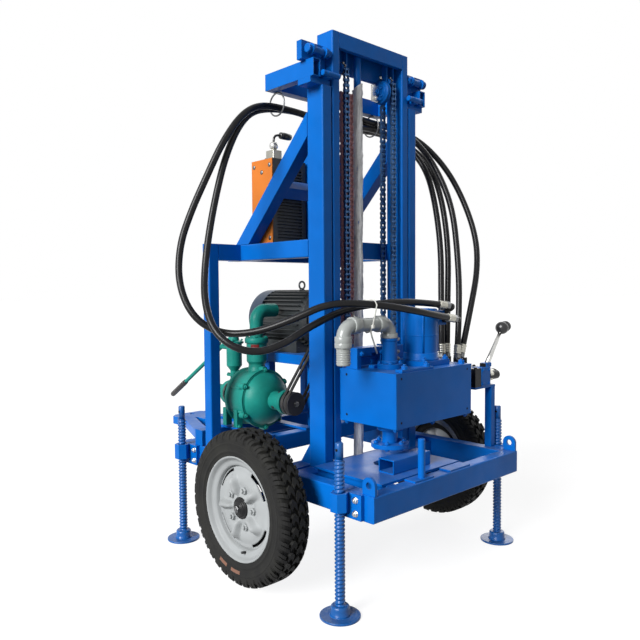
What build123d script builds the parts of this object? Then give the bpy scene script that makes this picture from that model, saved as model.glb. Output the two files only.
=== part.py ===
"""Trailer-mounted water well drilling rig, in millimetres, +Z up, +X to the rig's own right side.

While it is modelled, Y is counted rearwards from the front face of the front chassis beam.
The written pieces are moved so that the origin lies on the floor, midway along the length.
"""
import math
import os
from build123d import *

# Chassis: square and rectangular tube, closed at its ends
HALF_WIDTH = 414.0
CHASSIS_LENGTH = 1080.0
BEAM_HEIGHT = 83.0
BEAM_WIDTH = 50.0
BEAM_BOTTOM = 309.0
TUBE_CORNER = 5.0
BEARER_HEIGHT = 63.0
BEARER_WIDTH = 50.0
BEARER_FRONTS = (640.0, 930.0)
RAIL_SIZE = 40.0
SEAT_HEIGHT = 64.0

# Drawbar: a centre bar and two arms that meet in a nose with the hitch-pin hole
DRAWBAR_LENGTH = 620.0
DRAWBAR_HEIGHT = 38.0
DRAWBAR_TOP = 371.0
BAR_WIDTH = 60.0
ARM_WIDTH = 60.0
ARM_SPREAD = 300.0
NOSE_WIDTH = 210.0
NOSE_DEPTH = 140.0
HITCH_HOLE_RADIUS = 12.5
HITCH_HOLE_SETBACK = 45.0

# Running gear
AXLE_Y = 474.0
AXLE_HEIGHT = 283.0
AXLE_SIZE = 50.0
SPINDLE_RADIUS = 15.0
SPINDLE_CLEARANCE = 0.05
TYRE_RADIUS = 265.0
TYRE_WIDTH = 112.0
TYRE_REACH = 117.0
RIM_RADIUS = 176.0
RIM_WIDTH = 100.0
RIM_WALL = 4.0
HUB_RADIUS = 37.0
WHEEL_BOLT_CIRCLE = 65.0
WHEEL_BOLTS = 5
SLOT_COUNT = 4
SLOT_ARC = 46.0
SLOT_WIDTH = 9.0

# Screw jacks
JACK_REACH = 38.0
JACK_YS = (110.0, 1020.0)
SCREW_RADIUS = 17.0
SCREW_CLEARANCE = 0.1
SCREW_THREAD_TOP = 497.0
SCREW_TOP = 550.0
SCREW_END_RADIUS = 13.0
SCREW_BAR_HOLE = 5.0
FOOT_RADIUS = 65.0
FOOT_THICKNESS = 7.0
FOOT_HUB_RADIUS = 30.0
FOOT_HUB_HEIGHT = 38.0
NUT_ACROSS_FLATS = 52.0
NUT_BOTTOM = 335.0
NUT_TOP = 394.0
JACK_PLATE_LENGTH = 100.0
JACK_PLATE_BOTTOM = 312.0

# Mast: fixed outer columns, and an inner frame that slides up between them
MAST_FRONT = 374.0
COLUMN_DEPTH = 82.0
COLUMN_OUTER_X = 260.5
COLUMN_WIDTH = 45.0
COLUMN_TOP = 1740.0
SLIDE_GAP = 5.5
INNER_WIDTH = 36.0
INNER_RISE = 200.0
INNER_BOTTOM = 400.0
CROWN_HEIGHT = 55.0
CROWN_DEEP_HEIGHT = 112.0
CROWN_WALL = 20.0
CROWN_ROOF = 12.0

# Lift cylinder and chains inside the mast
LIFT_X = -45.0
LIFT_Y = 410.0
LIFT_RADIUS = 21.0
LIFT_ROD_RADIUS = 14.0
LIFT_ROD_CLEARANCE = 0.5
LIFT_RISE = 55.0
LIFT_STROKE = 640.0
CHAIN_X = 131.0
CHAIN_Y = 384.0
CHAIN_WIDTH = 25.0
CHAIN_THICKNESS = 15.0
CHAIN_PITCH = 38.1
CHAIN_PLATE = 5.0
CHAIN_WAIST = 4.5
CHAIN_SLOT_GAP = 6.0
CHAIN_TOP_GAP = 6.0
CHAIN_BOTTOM = 802.0
SPROCKET_RADIUS = 27.0
SPROCKET_DROP = 112.0
SPROCKET_PIN_RADIUS = 8.0

# Rear superstructure
POST_SIZE = 47.0
POST_Y = 862.0
POST_TOP = 1205.0
UPPER_HEIGHT = 65.0
UPPER_WIDTH = 50.0
UPPER_REAR = 950.0
BRACE_SIZE = 60.0
BRACE_WIDTH = 50.0
BRACE_DROP = 80.0
BRACE_REAR = 893.0

# Hose hanger on the mast top
HANGER_X = 310.0
HANGER_WIDTH = 34.0
HANGER_HEIGHT = 60.0
HANGER_SEAT = 20.0
HANGER_FRONT = 367.0
HANGER_REAR = 630.0
HANGER_WALL = 3.0
GUIDE_BOLT_Y = 385.0
GUIDE_BOLT_RADIUS = 13.0
GUIDE_DISC_RADIUS = 20.0
ROLLER_RADIUS = 10.0
GUIDE_HEIGHT = 125.0
GUIDE_BOLT_DROP = 32.0
RING_RADIUS = 42.0
RING_WIRE = 3.0
RING_XS = (-271.0, 252.0)

# Drill head
HEAD_HALF_WIDTH = 218.0
HEAD_FRONT = 78.0
HEAD_REAR = 339.0
HEAD_BOTTOM = 556.0
HEAD_TOP = 742.0
HEAD_PLATE = 8.0
CARRIAGE_HALF_WIDTH = 150.0
SPINDLE_X = -107.0
SPINDLE_Y = 200.0
SPINDLE_SHAFT_RADIUS = 27.5
SPINDLE_FLANGE_RADIUS = 67.0
SPINDLE_FLANGE_BOTTOM = 465.0
SPINDLE_FLANGE_HEIGHT = 15.0
SPINDLE_BOTTOM = 456.0
SPINDLE_BORE_RADIUS = 16.0
SPINDLE_BORE_DEPTH = 60.0
SPINDLE_SEAT_DEPTH = 44.0
BEARING_CLEARANCE = 0.1
YOKE_X = (-205.0, -60.0)
YOKE_Y = (265.0, 315.0)
YOKE_TOP = 815.0
YOKE_WALL = 20.0
MOTOR_X = 70.0
MOTOR_RADIUS = 61.0
MOTOR_TOP = 947.0
MOTOR_FLANGE = 150.0
PORT_BLOCK_REACH = 64.0
PORT_BLOCK_DROP = 7.0
PORT_BLOCK_HEIGHT = 55.0
MOTOR_FLANGE_HEIGHT = 20.0
SWIVEL_RADIUS = 26.5
SWIVEL_TOP = 850.0
WATER_RADIUS = 24.0
WATER_SOCKET_RADIUS = 29.0
WATER_HEIGHT = 902.0
WATER_BEND = 40.0
WATER_COLLAR = 14.0
BARB_X = -340.0
BARB_BOTTOM = 771.0
BARB_LENGTH = 55.0
BARB_COLLAR = 24.0
BARB_BORE_RADIUS = 18.0
BARB_BORE_DEPTH = 50.0

# Rod table in front of the mast
TABLE_X = (-317.0, 103.0)
TABLE_Y = (55.0, 370.0)
TABLE_THICKNESS = 8.0
TABLE_HOLE_RADIUS = 45.0
TABLE_HOLE_SHIFT = 18.0
GUIDE_TUBE_LENGTH = 200.0
GUIDE_TUBE_Y = (98.0, 165.0)
GUIDE_TUBE_HEIGHT = 48.0
GUIDE_TUBE_WALL = 4.0
PIN_X = -155.0
PIN_Y = 22.0
PIN_RADIUS = 12.0
PIN_HEIGHT = 130.0
TAB_THICKNESS = 6.0
EAR_THICKNESS = 10.0
EAR_RADIUS = 26.0
EAR_RISE = 30.0
EAR_HOLE_RADIUS = 11.0
EAR_Y = 27.0

# Electric motor, belts and pump
ELECTRIC_X = 50.0
ELECTRIC_Z = 895.0
ELECTRIC_FRONT = 700.0
ELECTRIC_REAR = 1080.0
ELECTRIC_RADIUS = 112.0
MOTOR_FOOT_REACH = 108.0
FIN_HEIGHT = 13.0
FIN_THICKNESS = 4.0
FIN_COUNT = 36
COWL_LENGTH = 95.0
COWL_EDGE = 34.0
GRILLE_DEPTH = 5.0
GRILLE_SLOTS = 16
STAND_TOP = 755.0
STAND_PLATE = 40.0
STAND_X = (-104.0, 204.0)
STAND_Y = (655.0, 980.0)
STAND_LEG_XS = (-56.0, 156.0)
MOTOR_SHAFT_RADIUS = 19.0
PUMP_SHAFT_RADIUS = 12.0
LEG_SIZE = 34.0
PULLEY_Y = 630.0
PULLEY_WIDTH = 44.0
PULLEY_RADIUS = 46.0
BELT_SPACING = 22.0
BELT_TOP = 12.0
BELT_BASE = 5.0
BELT_HEIGHT = 8.0
BELT_RISE = 1.0
PUMP_INSET = 224.0
PUMP_Z = 575.0
VOLUTE_RADIUS = 115.0
VOLUTE_FRONT = 800.0
VOLUTE_REAR = 905.0
COVER_RADIUS = 120.0
DOME_FRONT = 738.0
DOME_RADIUS = 109.0
FLANGE_THICKNESS = 14.0
SUCTION_BRANCH = 70.0
SUCTION_COLLAR = 25.0
SUCTION_TAIL = 115.0
FLANGE_LUGS = 6
LUG_RADIUS = 13.0
LUG_DEPTH = 30.0
PUMP_STRIP = 8.0
PUMP_FOOT_X = 84.0
PUMP_FOOT_DROP = 62.0
COVER_LENGTH = 50.0
BEARING_RADIUS = 38.0
SUCTION_RADIUS = 40.0
OUTLET_Y = 860.0
OUTLET_RADIUS = 42.0
OUTLET_TOP = 825.0
ELBOW_RADIUS = 28.0
ELBOW_BEND = 45.0
ELBOW_TOP = 935.0
PRIMER_Y = 1040.0
PRIMER_RADIUS = 34.0
PRIMER_SEAT_RISE = 72.0
PRIMER_RISE = 108.0
PRIMER_LENGTH = 113.0
PRIMER_SHIFT = 20.0
PRIMER_FLANGE = 8.0
PRIMER_NECK_RADIUS = 18.0
PRIMER_HEAD = 30.0
COCK_Y = 1166.0
COCK_HANDLE_DROP = 136.0
COCK_DROP = 9.0
LEVER_TIP = (1560.0, 505.0)
LEVER_RADIUS = 9.0

# x, z, bore radius

# Oil cooler and oil tank on the upper frame
COOLER_X = (-196.0, -20.0)
COOLER_Y = (730.0, 860.0)
COOLER_TOP = 1545.0
COOLER_PLATE = 4.0
COOLER_BORDER = 22.0
COOLER_FIN_PITCH = 13.0
COOLER_FIN_DEPTH = 10.0
TANK_X = (-10.0, 200.0)
TANK_Y = (700.0, 860.0)
TANK_TOP = 1590.0
TANK_BEARERS = (705.0, 790.0)

# Control valve on its post
VALVE_POST_X = (396.0, 425.0)
VALVE_POST_Y = (105.0, 135.0)
VALVE_POST_TOP = 632.0
VALVE_X = (285.0, 385.0)
VALVE_Y = (105.0, 330.0)
VALVE_BOTTOM = 640.0
VALVE_TOP = 712.0
VALVE_PORTS = ((325.0, 292.0), (362.0, 292.0), (325.0, 215.0), (362.0, 215.0))
PORT_RADIUS = 13.0
PORT_TOP = 790.0
LEVER_FOOT = (382.0, 120.0, 712.0)
LEVER_KNOB = (498.0, 120.0, 862.0)

# Hoses: points of each route, from the valve to the rings and on to the drive motor or the tank
HOSE_RADIUS = 12.5
ARC_SHARE = 0.45
FERRULE_RADIUS = 15.0
FERRULE_LENGTH = 50.0
HOSES = {
    "hose_drive_outer": (
        (-271, 597, 1700), (-351, 597, 1700), (-440, 600, 1652), (-512, 620, 1545), (-562, 650, 1420),
        (-605, 685, 1300), (-645, 700, 1180), (-662, 685, 1045), (-645, 625, 930), (-580, 555, 872),
        (-515, 440, 878), (-440, 330, 925), (-350, 250, 980), (-200, 170, 970), (-90, 118, 950),
        (20, 104, 930),
        (110, 106, 917)),
    "hose_drive_inner": (
        (-271, 623, 1700), (-356, 623, 1689), (-430, 628, 1625), (-490, 636, 1500), (-530, 640, 1360),
        (-562, 640, 1225), (-590, 630, 1095), (-625, 580, 980), (-632, 520, 890), (-605, 455, 835),
        (-545, 400, 815), (-475, 352, 838), (-385, 310, 900), (-260, 270, 955), (-110, 220, 975),
        (30, 185, 975), (140, 167, 963)),
    "hose_valve_outer": (
        (325, 292, 790), (345, 310, 975), (385, 340, 1180), (415, 390, 1370), (440, 450, 1515),
        (440, 518, 1610), (395, 570, 1670), (310, 597, 1700), (190, 597, 1700), (70, 597, 1690),
        (-70, 600, 1690), (-181, 597, 1700), (-271, 597, 1700)),
    "hose_valve_inner": (
        (362, 292, 790), (390, 310, 975), (430, 335, 1185), (458, 385, 1385), (478, 450, 1525),
        (478, 532, 1625), (420, 598, 1680), (320, 625, 1700), (190, 624, 1694), (70, 625, 1691),
        (-70, 628, 1700), (-186, 623, 1711), (-271, 623, 1700)),
    "hose_tank_outer": (
        (325, 215, 790), (372, 238, 970), (410, 275, 1160), (425, 310, 1345), (435, 375, 1485),
        (428, 455, 1612), (372, 540, 1712), (252, 597, 1727), (150, 598, 1736), (65, 638, 1718),
        (20, 708, 1672), (20, 782, 1615)),
    "hose_tank_inner": (
        (362, 215, 790), (432, 224, 948), (520, 250, 1105), (565, 290, 1250), (565, 360, 1420),
        (522, 425, 1560), (460, 520, 1680), (365, 612, 1733), (218, 628, 1730), (151, 657, 1706),
        (112, 708, 1662), (112, 770, 1615)),
}
ELBOW_REACH = 70.0
# hose, point inside the port block that its elbow runs to
DRIVE_ENDS = (("hose_drive_outer", (178, 190, 906)), ("hose_drive_inner", (190, 190, 925)))
TANK_ENDS = ("hose_tank_outer", "hose_tank_inner")
VALVE_ENDS = ("hose_valve_outer", "hose_valve_inner", "hose_tank_outer", "hose_tank_inner")

BEAM_TOP = BEAM_BOTTOM + BEAM_HEIGHT
SEAT_TOP = BEAM_BOTTOM + SEAT_HEIGHT
BEARER_TOP = BEAM_TOP + BEARER_HEIGHT
DECK_INSIDE = HALF_WIDTH - BEAM_WIDTH
JACK_X = HALF_WIDTH + JACK_REACH
TYRE_CENTRE_X = HALF_WIDTH + TYRE_REACH
PUMP_X = PUMP_INSET - HALF_WIDTH
PRIMER_SEAT = PUMP_Z + PRIMER_SEAT_RISE
PRIMER_LOW = PUMP_Z + PRIMER_RISE
PRIMER_HIGH = PRIMER_LOW + PRIMER_LENGTH
PULLEYS = ((ELECTRIC_X, ELECTRIC_Z, MOTOR_SHAFT_RADIUS), (PUMP_X, PUMP_Z, PUMP_SHAFT_RADIUS))
NOSE_END = CHASSIS_LENGTH + DRAWBAR_LENGTH
ORIGIN_Y = NOSE_END / 2
MAST_BACK = MAST_FRONT + COLUMN_DEPTH
COLUMN_INNER_X = COLUMN_OUTER_X - COLUMN_WIDTH
INNER_TOP = COLUMN_TOP + INNER_RISE
SPROCKET_HEIGHT = INNER_TOP - SPROCKET_DROP
LIFT_TOP = COLUMN_TOP + LIFT_RISE
BRACE_TOP = COLUMN_TOP - BRACE_DROP
HANGER_BOTTOM = COLUMN_TOP + HANGER_SEAT
GUIDE_TOP = HANGER_BOTTOM + GUIDE_HEIGHT
SLIDE_OUTER_X = COLUMN_INNER_X - SLIDE_GAP
SLIDE_INNER_X = SLIDE_OUTER_X - INNER_WIDTH
RETURN_Y = CHAIN_Y + 2 * SPROCKET_RADIUS
UPPER_TOP = POST_TOP
UPPER_BOTTOM = UPPER_TOP - UPPER_HEIGHT
TABLE_TOP = BEAM_TOP + TABLE_THICKNESS
STAND_BOTTOM = STAND_TOP - STAND_PLATE


def block(x, y, z):
    """A box between low and high values on each axis."""
    size = [high - low for low, high in (x, y, z)]
    centre = [(low + high) / 2 for low, high in (x, y, z)]
    return Pos(*centre) * Box(*size)


def bar(x, y, z, corner=TUBE_CORNER):
    """A length of drawn tube: its four long edges are rounded."""
    size = {Axis.X: x[1] - x[0], Axis.Y: y[1] - y[0], Axis.Z: z[1] - z[0]}
    along = max(size, key=size.get)
    body = block(x, y, z)
    return fillet(body.edges().filter_by(along), corner)


def round_bar(start, end, radius):
    """A cylinder from one point to another."""
    a, b = Vector(*start), Vector(*end)
    plane = Plane(origin=a, z_dir=(b - a).normalized())
    return plane * Cylinder(radius, (b - a).length, align=(Align.CENTER, Align.CENTER, Align.MIN))


def turned(outline, axis=Axis.Y):
    """A solid turned about an axis; outline is a closed run of points, a triple of points being an arc."""
    with BuildSketch(Plane.XY) as section:
        with BuildLine():
            for start, after in zip(outline, outline[1:] + outline[:1]):
                first = start[-1] if isinstance(start[0], tuple) else start
                last = after[0] if isinstance(after[0], tuple) else after
                if isinstance(start[0], tuple):
                    ThreePointArc(*start)
                if first != last:
                    Line(first, last)
        make_face()
    return revolve(section.sketch, axis)


def hexagon(centre, across, low, high):
    """An upright hexagonal nut body."""
    face = Plane.XY.offset(low) * Pos(centre[0], centre[1]) * Rot(Z=30) * RegularPolygon(across / 2, 6,
                                                                                         major_radius=False)
    return extrude(face, high - low)


def group(shapes):
    """Separate solids that make one node."""
    return Compound([solid for shape in shapes for solid in shape.solids()])


def both_sides(shape):
    """The shape and its mirror image across the middle of the rig."""
    return shape + mirror(shape, about=Plane.YZ)


def side_beams():
    return both_sides(bar((DECK_INSIDE, HALF_WIDTH), (BEAM_WIDTH, CHASSIS_LENGTH), (BEAM_BOTTOM, BEAM_TOP)))


def cross_beams():
    """Front beam, mast seat, rear beam, the two raised bearers and the rails under the rod table."""
    front = bar((-HALF_WIDTH, HALF_WIDTH), (0, BEAM_WIDTH), (BEAM_BOTTOM, BEAM_TOP))
    inside = (-DECK_INSIDE, DECK_INSIDE)
    seat = bar(inside, (MAST_FRONT, MAST_BACK), (BEAM_BOTTOM, SEAT_TOP))
    rear = bar(inside, (CHASSIS_LENGTH - BEAM_WIDTH, CHASSIS_LENGTH), (BEAM_BOTTOM, BEAM_TOP))
    rows = [front, seat, rear]
    for start in BEARER_FRONTS:
        rows.append(bar((-HALF_WIDTH, HALF_WIDTH), (start, start + BEARER_WIDTH), (BEAM_TOP, BEARER_TOP)))
    for x in (TABLE_X[0] + RAIL_SIZE, TABLE_X[1] - RAIL_SIZE):
        rows.append(bar((x - RAIL_SIZE / 2, x + RAIL_SIZE / 2), (BEAM_WIDTH, MAST_FRONT),
                        (BEAM_TOP - RAIL_SIZE, BEAM_TOP), corner=3))
    return group(rows)


def lifting_ears():
    """Round-topped plates with an eye, standing on the front beam's two ends."""
    x = (HALF_WIDTH - EAR_THICKNESS - TUBE_CORNER, HALF_WIDTH - TUBE_CORNER)
    foot = block(x, (EAR_Y - EAR_RADIUS, EAR_Y + EAR_RADIUS), (BEAM_TOP, BEAM_TOP + EAR_RISE))
    top = round_bar((x[0], EAR_Y, BEAM_TOP + EAR_RISE), (x[1], EAR_Y, BEAM_TOP + EAR_RISE), EAR_RADIUS)
    eye = round_bar((x[0] - 1, EAR_Y, BEAM_TOP + EAR_RISE), (x[1] + 1, EAR_Y, BEAM_TOP + EAR_RISE),
                    EAR_HOLE_RADIUS)
    return both_sides(foot + top - eye)


def rod_table():
    """Plate under the drill spindle with its rod hole, the open guide tube and its stop pin."""
    plate = block(TABLE_X, TABLE_Y, (BEAM_TOP, TABLE_TOP))
    hole = Pos(SPINDLE_X, SPINDLE_Y + TABLE_HOLE_SHIFT, BEAM_TOP) * Cylinder(TABLE_HOLE_RADIUS,
                                                                             4 * TABLE_THICKNESS)
    x = (SPINDLE_X - GUIDE_TUBE_LENGTH / 2, SPINDLE_X + GUIDE_TUBE_LENGTH / 2)
    outside = block(x, GUIDE_TUBE_Y, (TABLE_TOP, TABLE_TOP + GUIDE_TUBE_HEIGHT))
    wall = GUIDE_TUBE_WALL
    inside = block((x[0] - 1, x[1] + 1), (GUIDE_TUBE_Y[0] + wall, GUIDE_TUBE_Y[1] - wall),
                   (TABLE_TOP + wall, TABLE_TOP + GUIDE_TUBE_HEIGHT - wall))
    return plate - hole + (fillet(outside.edges().filter_by(Axis.X), wall) - inside)


def stop_pin():
    """The upright pin on its small plate, and the second plate beside it, on the front beam."""
    z = (BEAM_TOP, BEAM_TOP + TAB_THICKNESS)
    plate = block((PIN_X - 55, PIN_X + 45), (4, BEAM_WIDTH), z)
    pin = round_bar((PIN_X, PIN_Y, z[1]), (PIN_X, PIN_Y, z[1] + PIN_HEIGHT), PIN_RADIUS)
    pin = chamfer(pin.edges().sort_by(Axis.Z)[-1], 2)
    tab = block((-20, 100), (4, BEAM_WIDTH), z)
    return group([plate + pin, tab])


def mast_columns():
    """Outer columns with the triangular gusset and the foot plate behind each."""
    column = bar((COLUMN_INNER_X, COLUMN_OUTER_X), (MAST_FRONT, MAST_BACK), (SEAT_TOP, COLUMN_TOP))
    gusset_x = COLUMN_OUTER_X - COLUMN_WIDTH / 2
    side = Plane.YZ.offset(gusset_x) * Polyline((MAST_BACK, SEAT_TOP), (MAST_BACK + 66, SEAT_TOP),
                                                (MAST_BACK, SEAT_TOP + 96), close=True)
    gusset = extrude(make_face(side), 8)
    foot = block((COLUMN_INNER_X, DECK_INSIDE), (MAST_BACK, MAST_BACK + 70), (SEAT_TOP - 4, SEAT_TOP + 4))
    return both_sides(column + gusset + foot)


def mast_guides():
    """On each column top: cap, upright block and plate, side guide bolt, and the roller in front."""
    inner = COLUMN_INNER_X + 1
    block_x = (inner, HANGER_X - HANGER_WIDTH)
    cap = block((inner, HANGER_X), (MAST_FRONT + 8, MAST_BACK - 8), (COLUMN_TOP, HANGER_BOTTOM))
    back = (GUIDE_BOLT_Y + GUIDE_DISC_RADIUS, GUIDE_BOLT_Y + GUIDE_DISC_RADIUS + 25)
    upright = block(block_x, back, (HANGER_BOTTOM, GUIDE_TOP))
    wing = block((block_x[1], HANGER_X + 20), back, (HANGER_BOTTOM + HANGER_HEIGHT, GUIDE_TOP))
    level = GUIDE_TOP - GUIDE_BOLT_DROP
    bolt = round_bar((COLUMN_INNER_X, GUIDE_BOLT_Y, level), (HANGER_X + 10, GUIDE_BOLT_Y, level),
                     GUIDE_BOLT_RADIUS)
    shape = cap + upright + wing + bolt
    for x in (COLUMN_INNER_X + 22, HANGER_X - 12):
        shape += round_bar((x, GUIDE_BOLT_Y, level), (x + 8, GUIDE_BOLT_Y, level), GUIDE_DISC_RADIUS)
    roller_y = MAST_FRONT - SLIDE_GAP - ROLLER_RADIUS
    ear = block((inner + 10, COLUMN_OUTER_X - 6), (roller_y, back[0]), (HANGER_BOTTOM, HANGER_BOTTOM + 24))
    roller_z = HANGER_BOTTOM + 14
    roller = round_bar((SLIDE_INNER_X + 20, roller_y, roller_z), (block_x[1] - 2, roller_y, roller_z),
                       ROLLER_RADIUS)
    return both_sides(shape + ear + roller)


def hose_hanger():
    """U-shaped frame of open tube behind the mast top, with the two hanging rings."""
    z = (HANGER_BOTTOM, HANGER_BOTTOM + HANGER_HEIGHT)
    arm = block((HANGER_X - HANGER_WIDTH, HANGER_X), (HANGER_FRONT, HANGER_REAR), z)
    wall = HANGER_WALL
    mouth = block((HANGER_X - HANGER_WIDTH + wall, HANGER_X - wall), (HANGER_FRONT - 1, HANGER_FRONT + 60),
                  (z[0] + wall, z[1] - wall))
    beam = block((-HANGER_X + HANGER_WIDTH, HANGER_X - HANGER_WIDTH), (HANGER_REAR - 40, HANGER_REAR), z)
    return both_sides(arm - mouth) + beam


def hanging_rings():
    """The two wire rings under the hanger that the hoses run through."""
    rows = []
    for x in RING_XS:
        ring = Rot(Y=90) * Torus(RING_RADIUS, RING_WIRE)
        rows.append(Pos(x, HANGER_REAR - 20, HANGER_BOTTOM - RING_RADIUS - RING_WIRE) * ring)
    return group(rows)


def rear_posts():
    return both_sides(bar((HALF_WIDTH - POST_SIZE, HALF_WIDTH), (POST_Y, POST_Y + POST_SIZE),
                          (BEAM_TOP, POST_TOP)))


def upper_beams():
    """Cross beam between the posts, side beams from the mast, and the tie behind the mast."""
    z = (UPPER_BOTTOM, UPPER_TOP)
    inner = COLUMN_OUTER_X - UPPER_WIDTH
    rows = []
    for sign in (-1, 1):
        x = sorted((sign * inner, sign * COLUMN_OUTER_X))
        rows.append(bar(x, (MAST_BACK, POST_Y), z))
        stub = sorted((sign * COLUMN_OUTER_X, sign * (HALF_WIDTH - POST_SIZE)))
        rows.append(block(stub, (POST_Y, POST_Y + POST_SIZE), z))
    rows.append(block((-COLUMN_OUTER_X, COLUMN_OUTER_X), (POST_Y, POST_Y + POST_SIZE), z))
    rows.append(block((-inner, inner), (MAST_BACK, MAST_BACK + UPPER_WIDTH), z))
    for sign in (-1, 1):
        x = sorted((sign * inner, sign * COLUMN_OUTER_X))
        rows.append(block(x, (POST_Y + POST_SIZE, UPPER_REAR), z))
    return rows


def mast_braces():
    """Sloping tubes from the columns' backs down to the side beams, with a cross tube half-way."""
    run = BRACE_REAR - MAST_BACK
    rise = BRACE_TOP - UPPER_TOP
    slope = BRACE_SIZE / math.sin(math.atan2(run, rise))
    profile = Plane.YZ.offset(COLUMN_OUTER_X - BRACE_WIDTH) * Polyline(
        (MAST_BACK, BRACE_TOP), (MAST_BACK, BRACE_TOP - slope),
        (BRACE_REAR - slope * run / rise, UPPER_TOP), (BRACE_REAR, UPPER_TOP), close=True)
    brace = extrude(make_face(profile), BRACE_WIDTH)
    middle_y = (MAST_BACK + BRACE_REAR) / 2 - slope * run / rise / 4
    middle_z = (BRACE_TOP + UPPER_TOP) / 2 - slope / 4
    angle = math.degrees(math.atan2(rise, run))
    cross = Pos(0, middle_y, middle_z) * Rot(X=-angle) * Box(2 * (COLUMN_OUTER_X - BRACE_WIDTH), 50, 50)
    return both_sides(brace), cross


def drawbar():
    """Centre bar and the nose plate with its hitch-pin hole."""
    z = (DRAWBAR_TOP - DRAWBAR_HEIGHT, DRAWBAR_TOP)
    half = BAR_WIDTH / 2
    centre = block((-half, half), (CHASSIS_LENGTH, NOSE_END - NOSE_DEPTH), z)
    nose = block((-NOSE_WIDTH / 2, NOSE_WIDTH / 2), (NOSE_END - NOSE_DEPTH, NOSE_END), z)
    nose = chamfer(nose.edges().filter_by(Axis.Z).group_by(Axis.Y)[-1], 30)
    hole = Pos(0, NOSE_END - HITCH_HOLE_SETBACK, DRAWBAR_TOP) * Cylinder(HITCH_HOLE_RADIUS,
                                                                         4 * DRAWBAR_HEIGHT)
    return centre + nose - hole


def drawbar_arms():
    """Two arms from the rear beam to the nose."""
    z0 = DRAWBAR_TOP - DRAWBAR_HEIGHT
    outer = NOSE_WIDTH / 2
    front, rear = CHASSIS_LENGTH, NOSE_END - NOSE_DEPTH
    width = ARM_WIDTH / math.cos(math.atan2(ARM_SPREAD - outer, rear - front))
    plan = Plane.XY.offset(z0) * Polyline((ARM_SPREAD - width, front), (ARM_SPREAD, front),
                                          (outer, rear), (outer - width, rear), close=True)
    return both_sides(extrude(make_face(plan), DRAWBAR_HEIGHT))


def axle():
    """Square axle under the side beams with a round stub at each end."""
    z = (BEAM_BOTTOM - AXLE_SIZE, BEAM_BOTTOM)
    beam_end = TYRE_CENTRE_X - RIM_WIDTH / 2 - 12
    beam = block((-beam_end, beam_end), (AXLE_Y - AXLE_SIZE / 2, AXLE_Y + AXLE_SIZE / 2), z)
    tip = TYRE_CENTRE_X + RIM_WIDTH / 2 - 10
    stub = round_bar((-tip, AXLE_Y, AXLE_HEIGHT), (tip, AXLE_Y, AXLE_HEIGHT), SPINDLE_RADIUS)
    return beam + stub


def tyre(side):
    """Tyre turned about the axle: bead, bulging sidewall and tread."""
    half = TYRE_WIDTH / 2
    rim = RIM_WIDTH / 2
    outer = TYRE_RADIUS
    shoulder = outer - 16
    side_points = ((rim - 18, RIM_RADIUS - 8), (rim - RIM_WALL, RIM_RADIUS - 3), (rim, RIM_RADIUS + 3),
                   (half - 2, RIM_RADIUS + 36), (half, shoulder - 20), (half - 3, shoulder),
                   (half - 16, outer))
    mirrored = [(-x, radius) for x, radius in reversed(side_points)]
    with BuildSketch(Plane.XY) as section:
        with BuildLine():
            Polyline(*side_points, *mirrored, close=True)
        make_face()
    ring = revolve(section.sketch, Axis.X)
    return Pos(side * TYRE_CENTRE_X, AXLE_Y, AXLE_HEIGHT) * ring


def wheel(side):
    """Pressed steel wheel: rim with flanges, dished disc, hub with cap and its nuts."""
    half = RIM_WIDTH / 2
    well = RIM_RADIUS - 30
    disc = half - 34
    bore = SPINDLE_RADIUS + SPINDLE_CLEARANCE
    with BuildSketch(Plane.XY) as section:
        with BuildLine():
            Polyline((half, RIM_RADIUS + 3), (half, RIM_RADIUS - 8), (half - 14, RIM_RADIUS - 12),
                     (half - 20, well - 3), (disc + 4, well - 4), (disc + 2, well - 22), (disc + 16, 92),
                     (disc + 10, 60), (disc + 10, HUB_RADIUS), (half - 2, HUB_RADIUS), (half + 4, 22),
                     (half + 4, 0), (half - 8, 0), (half - 8, bore), (-half + 20, bore),
                     (-half + 20, HUB_RADIUS),
                     (disc - 2, HUB_RADIUS + 4), (disc - 2, 60), (disc + 8, 92), (disc - 6, well - 20),
                     (disc - 6, well - 8), (-half + 20, well - 3), (-half + 14, RIM_RADIUS - 12),
                     (-half, RIM_RADIUS - 8), (-half, RIM_RADIUS + 3), (-half + RIM_WALL, RIM_RADIUS - 3),
                     (-half + 18, RIM_RADIUS - 8), (-half + 22, well), (half - 22, well),
                     (half - 18, RIM_RADIUS - 8), (half - RIM_WALL, RIM_RADIUS - 3), close=True)
        make_face()
    shape = revolve(section.sketch, Axis.X)
    nuts = []
    for index in range(WHEEL_BOLTS):
        angle = 2 * math.pi * index / WHEEL_BOLTS
        y, z = WHEEL_BOLT_CIRCLE * math.cos(angle), WHEEL_BOLT_CIRCLE * math.sin(angle)
        nuts.append(round_bar((disc + 8, y, z), (disc + 26, y, z), 10))
    for nut in nuts:
        shape += nut
    shape -= wheel_slots(well - 15, disc - 20, disc + 20)
    if side < 0:
        shape = mirror(shape, about=Plane.YZ)
    return Pos(side * TYRE_CENTRE_X, AXLE_Y, AXLE_HEIGHT) * shape


def wheel_slots(radius, low, high):
    """Curved slots through the disc beside the rim."""
    slots = []
    for index in range(SLOT_COUNT):
        arc = Rot(Z=360 * index / SLOT_COUNT + 45) * CenterArc((0, 0), radius, -SLOT_ARC / 2, SLOT_ARC)
        slots.append(SlotArc(arc, SLOT_WIDTH))
    return [extrude(Plane.YZ.offset(low) * slot, high - low) for slot in slots]


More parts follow.
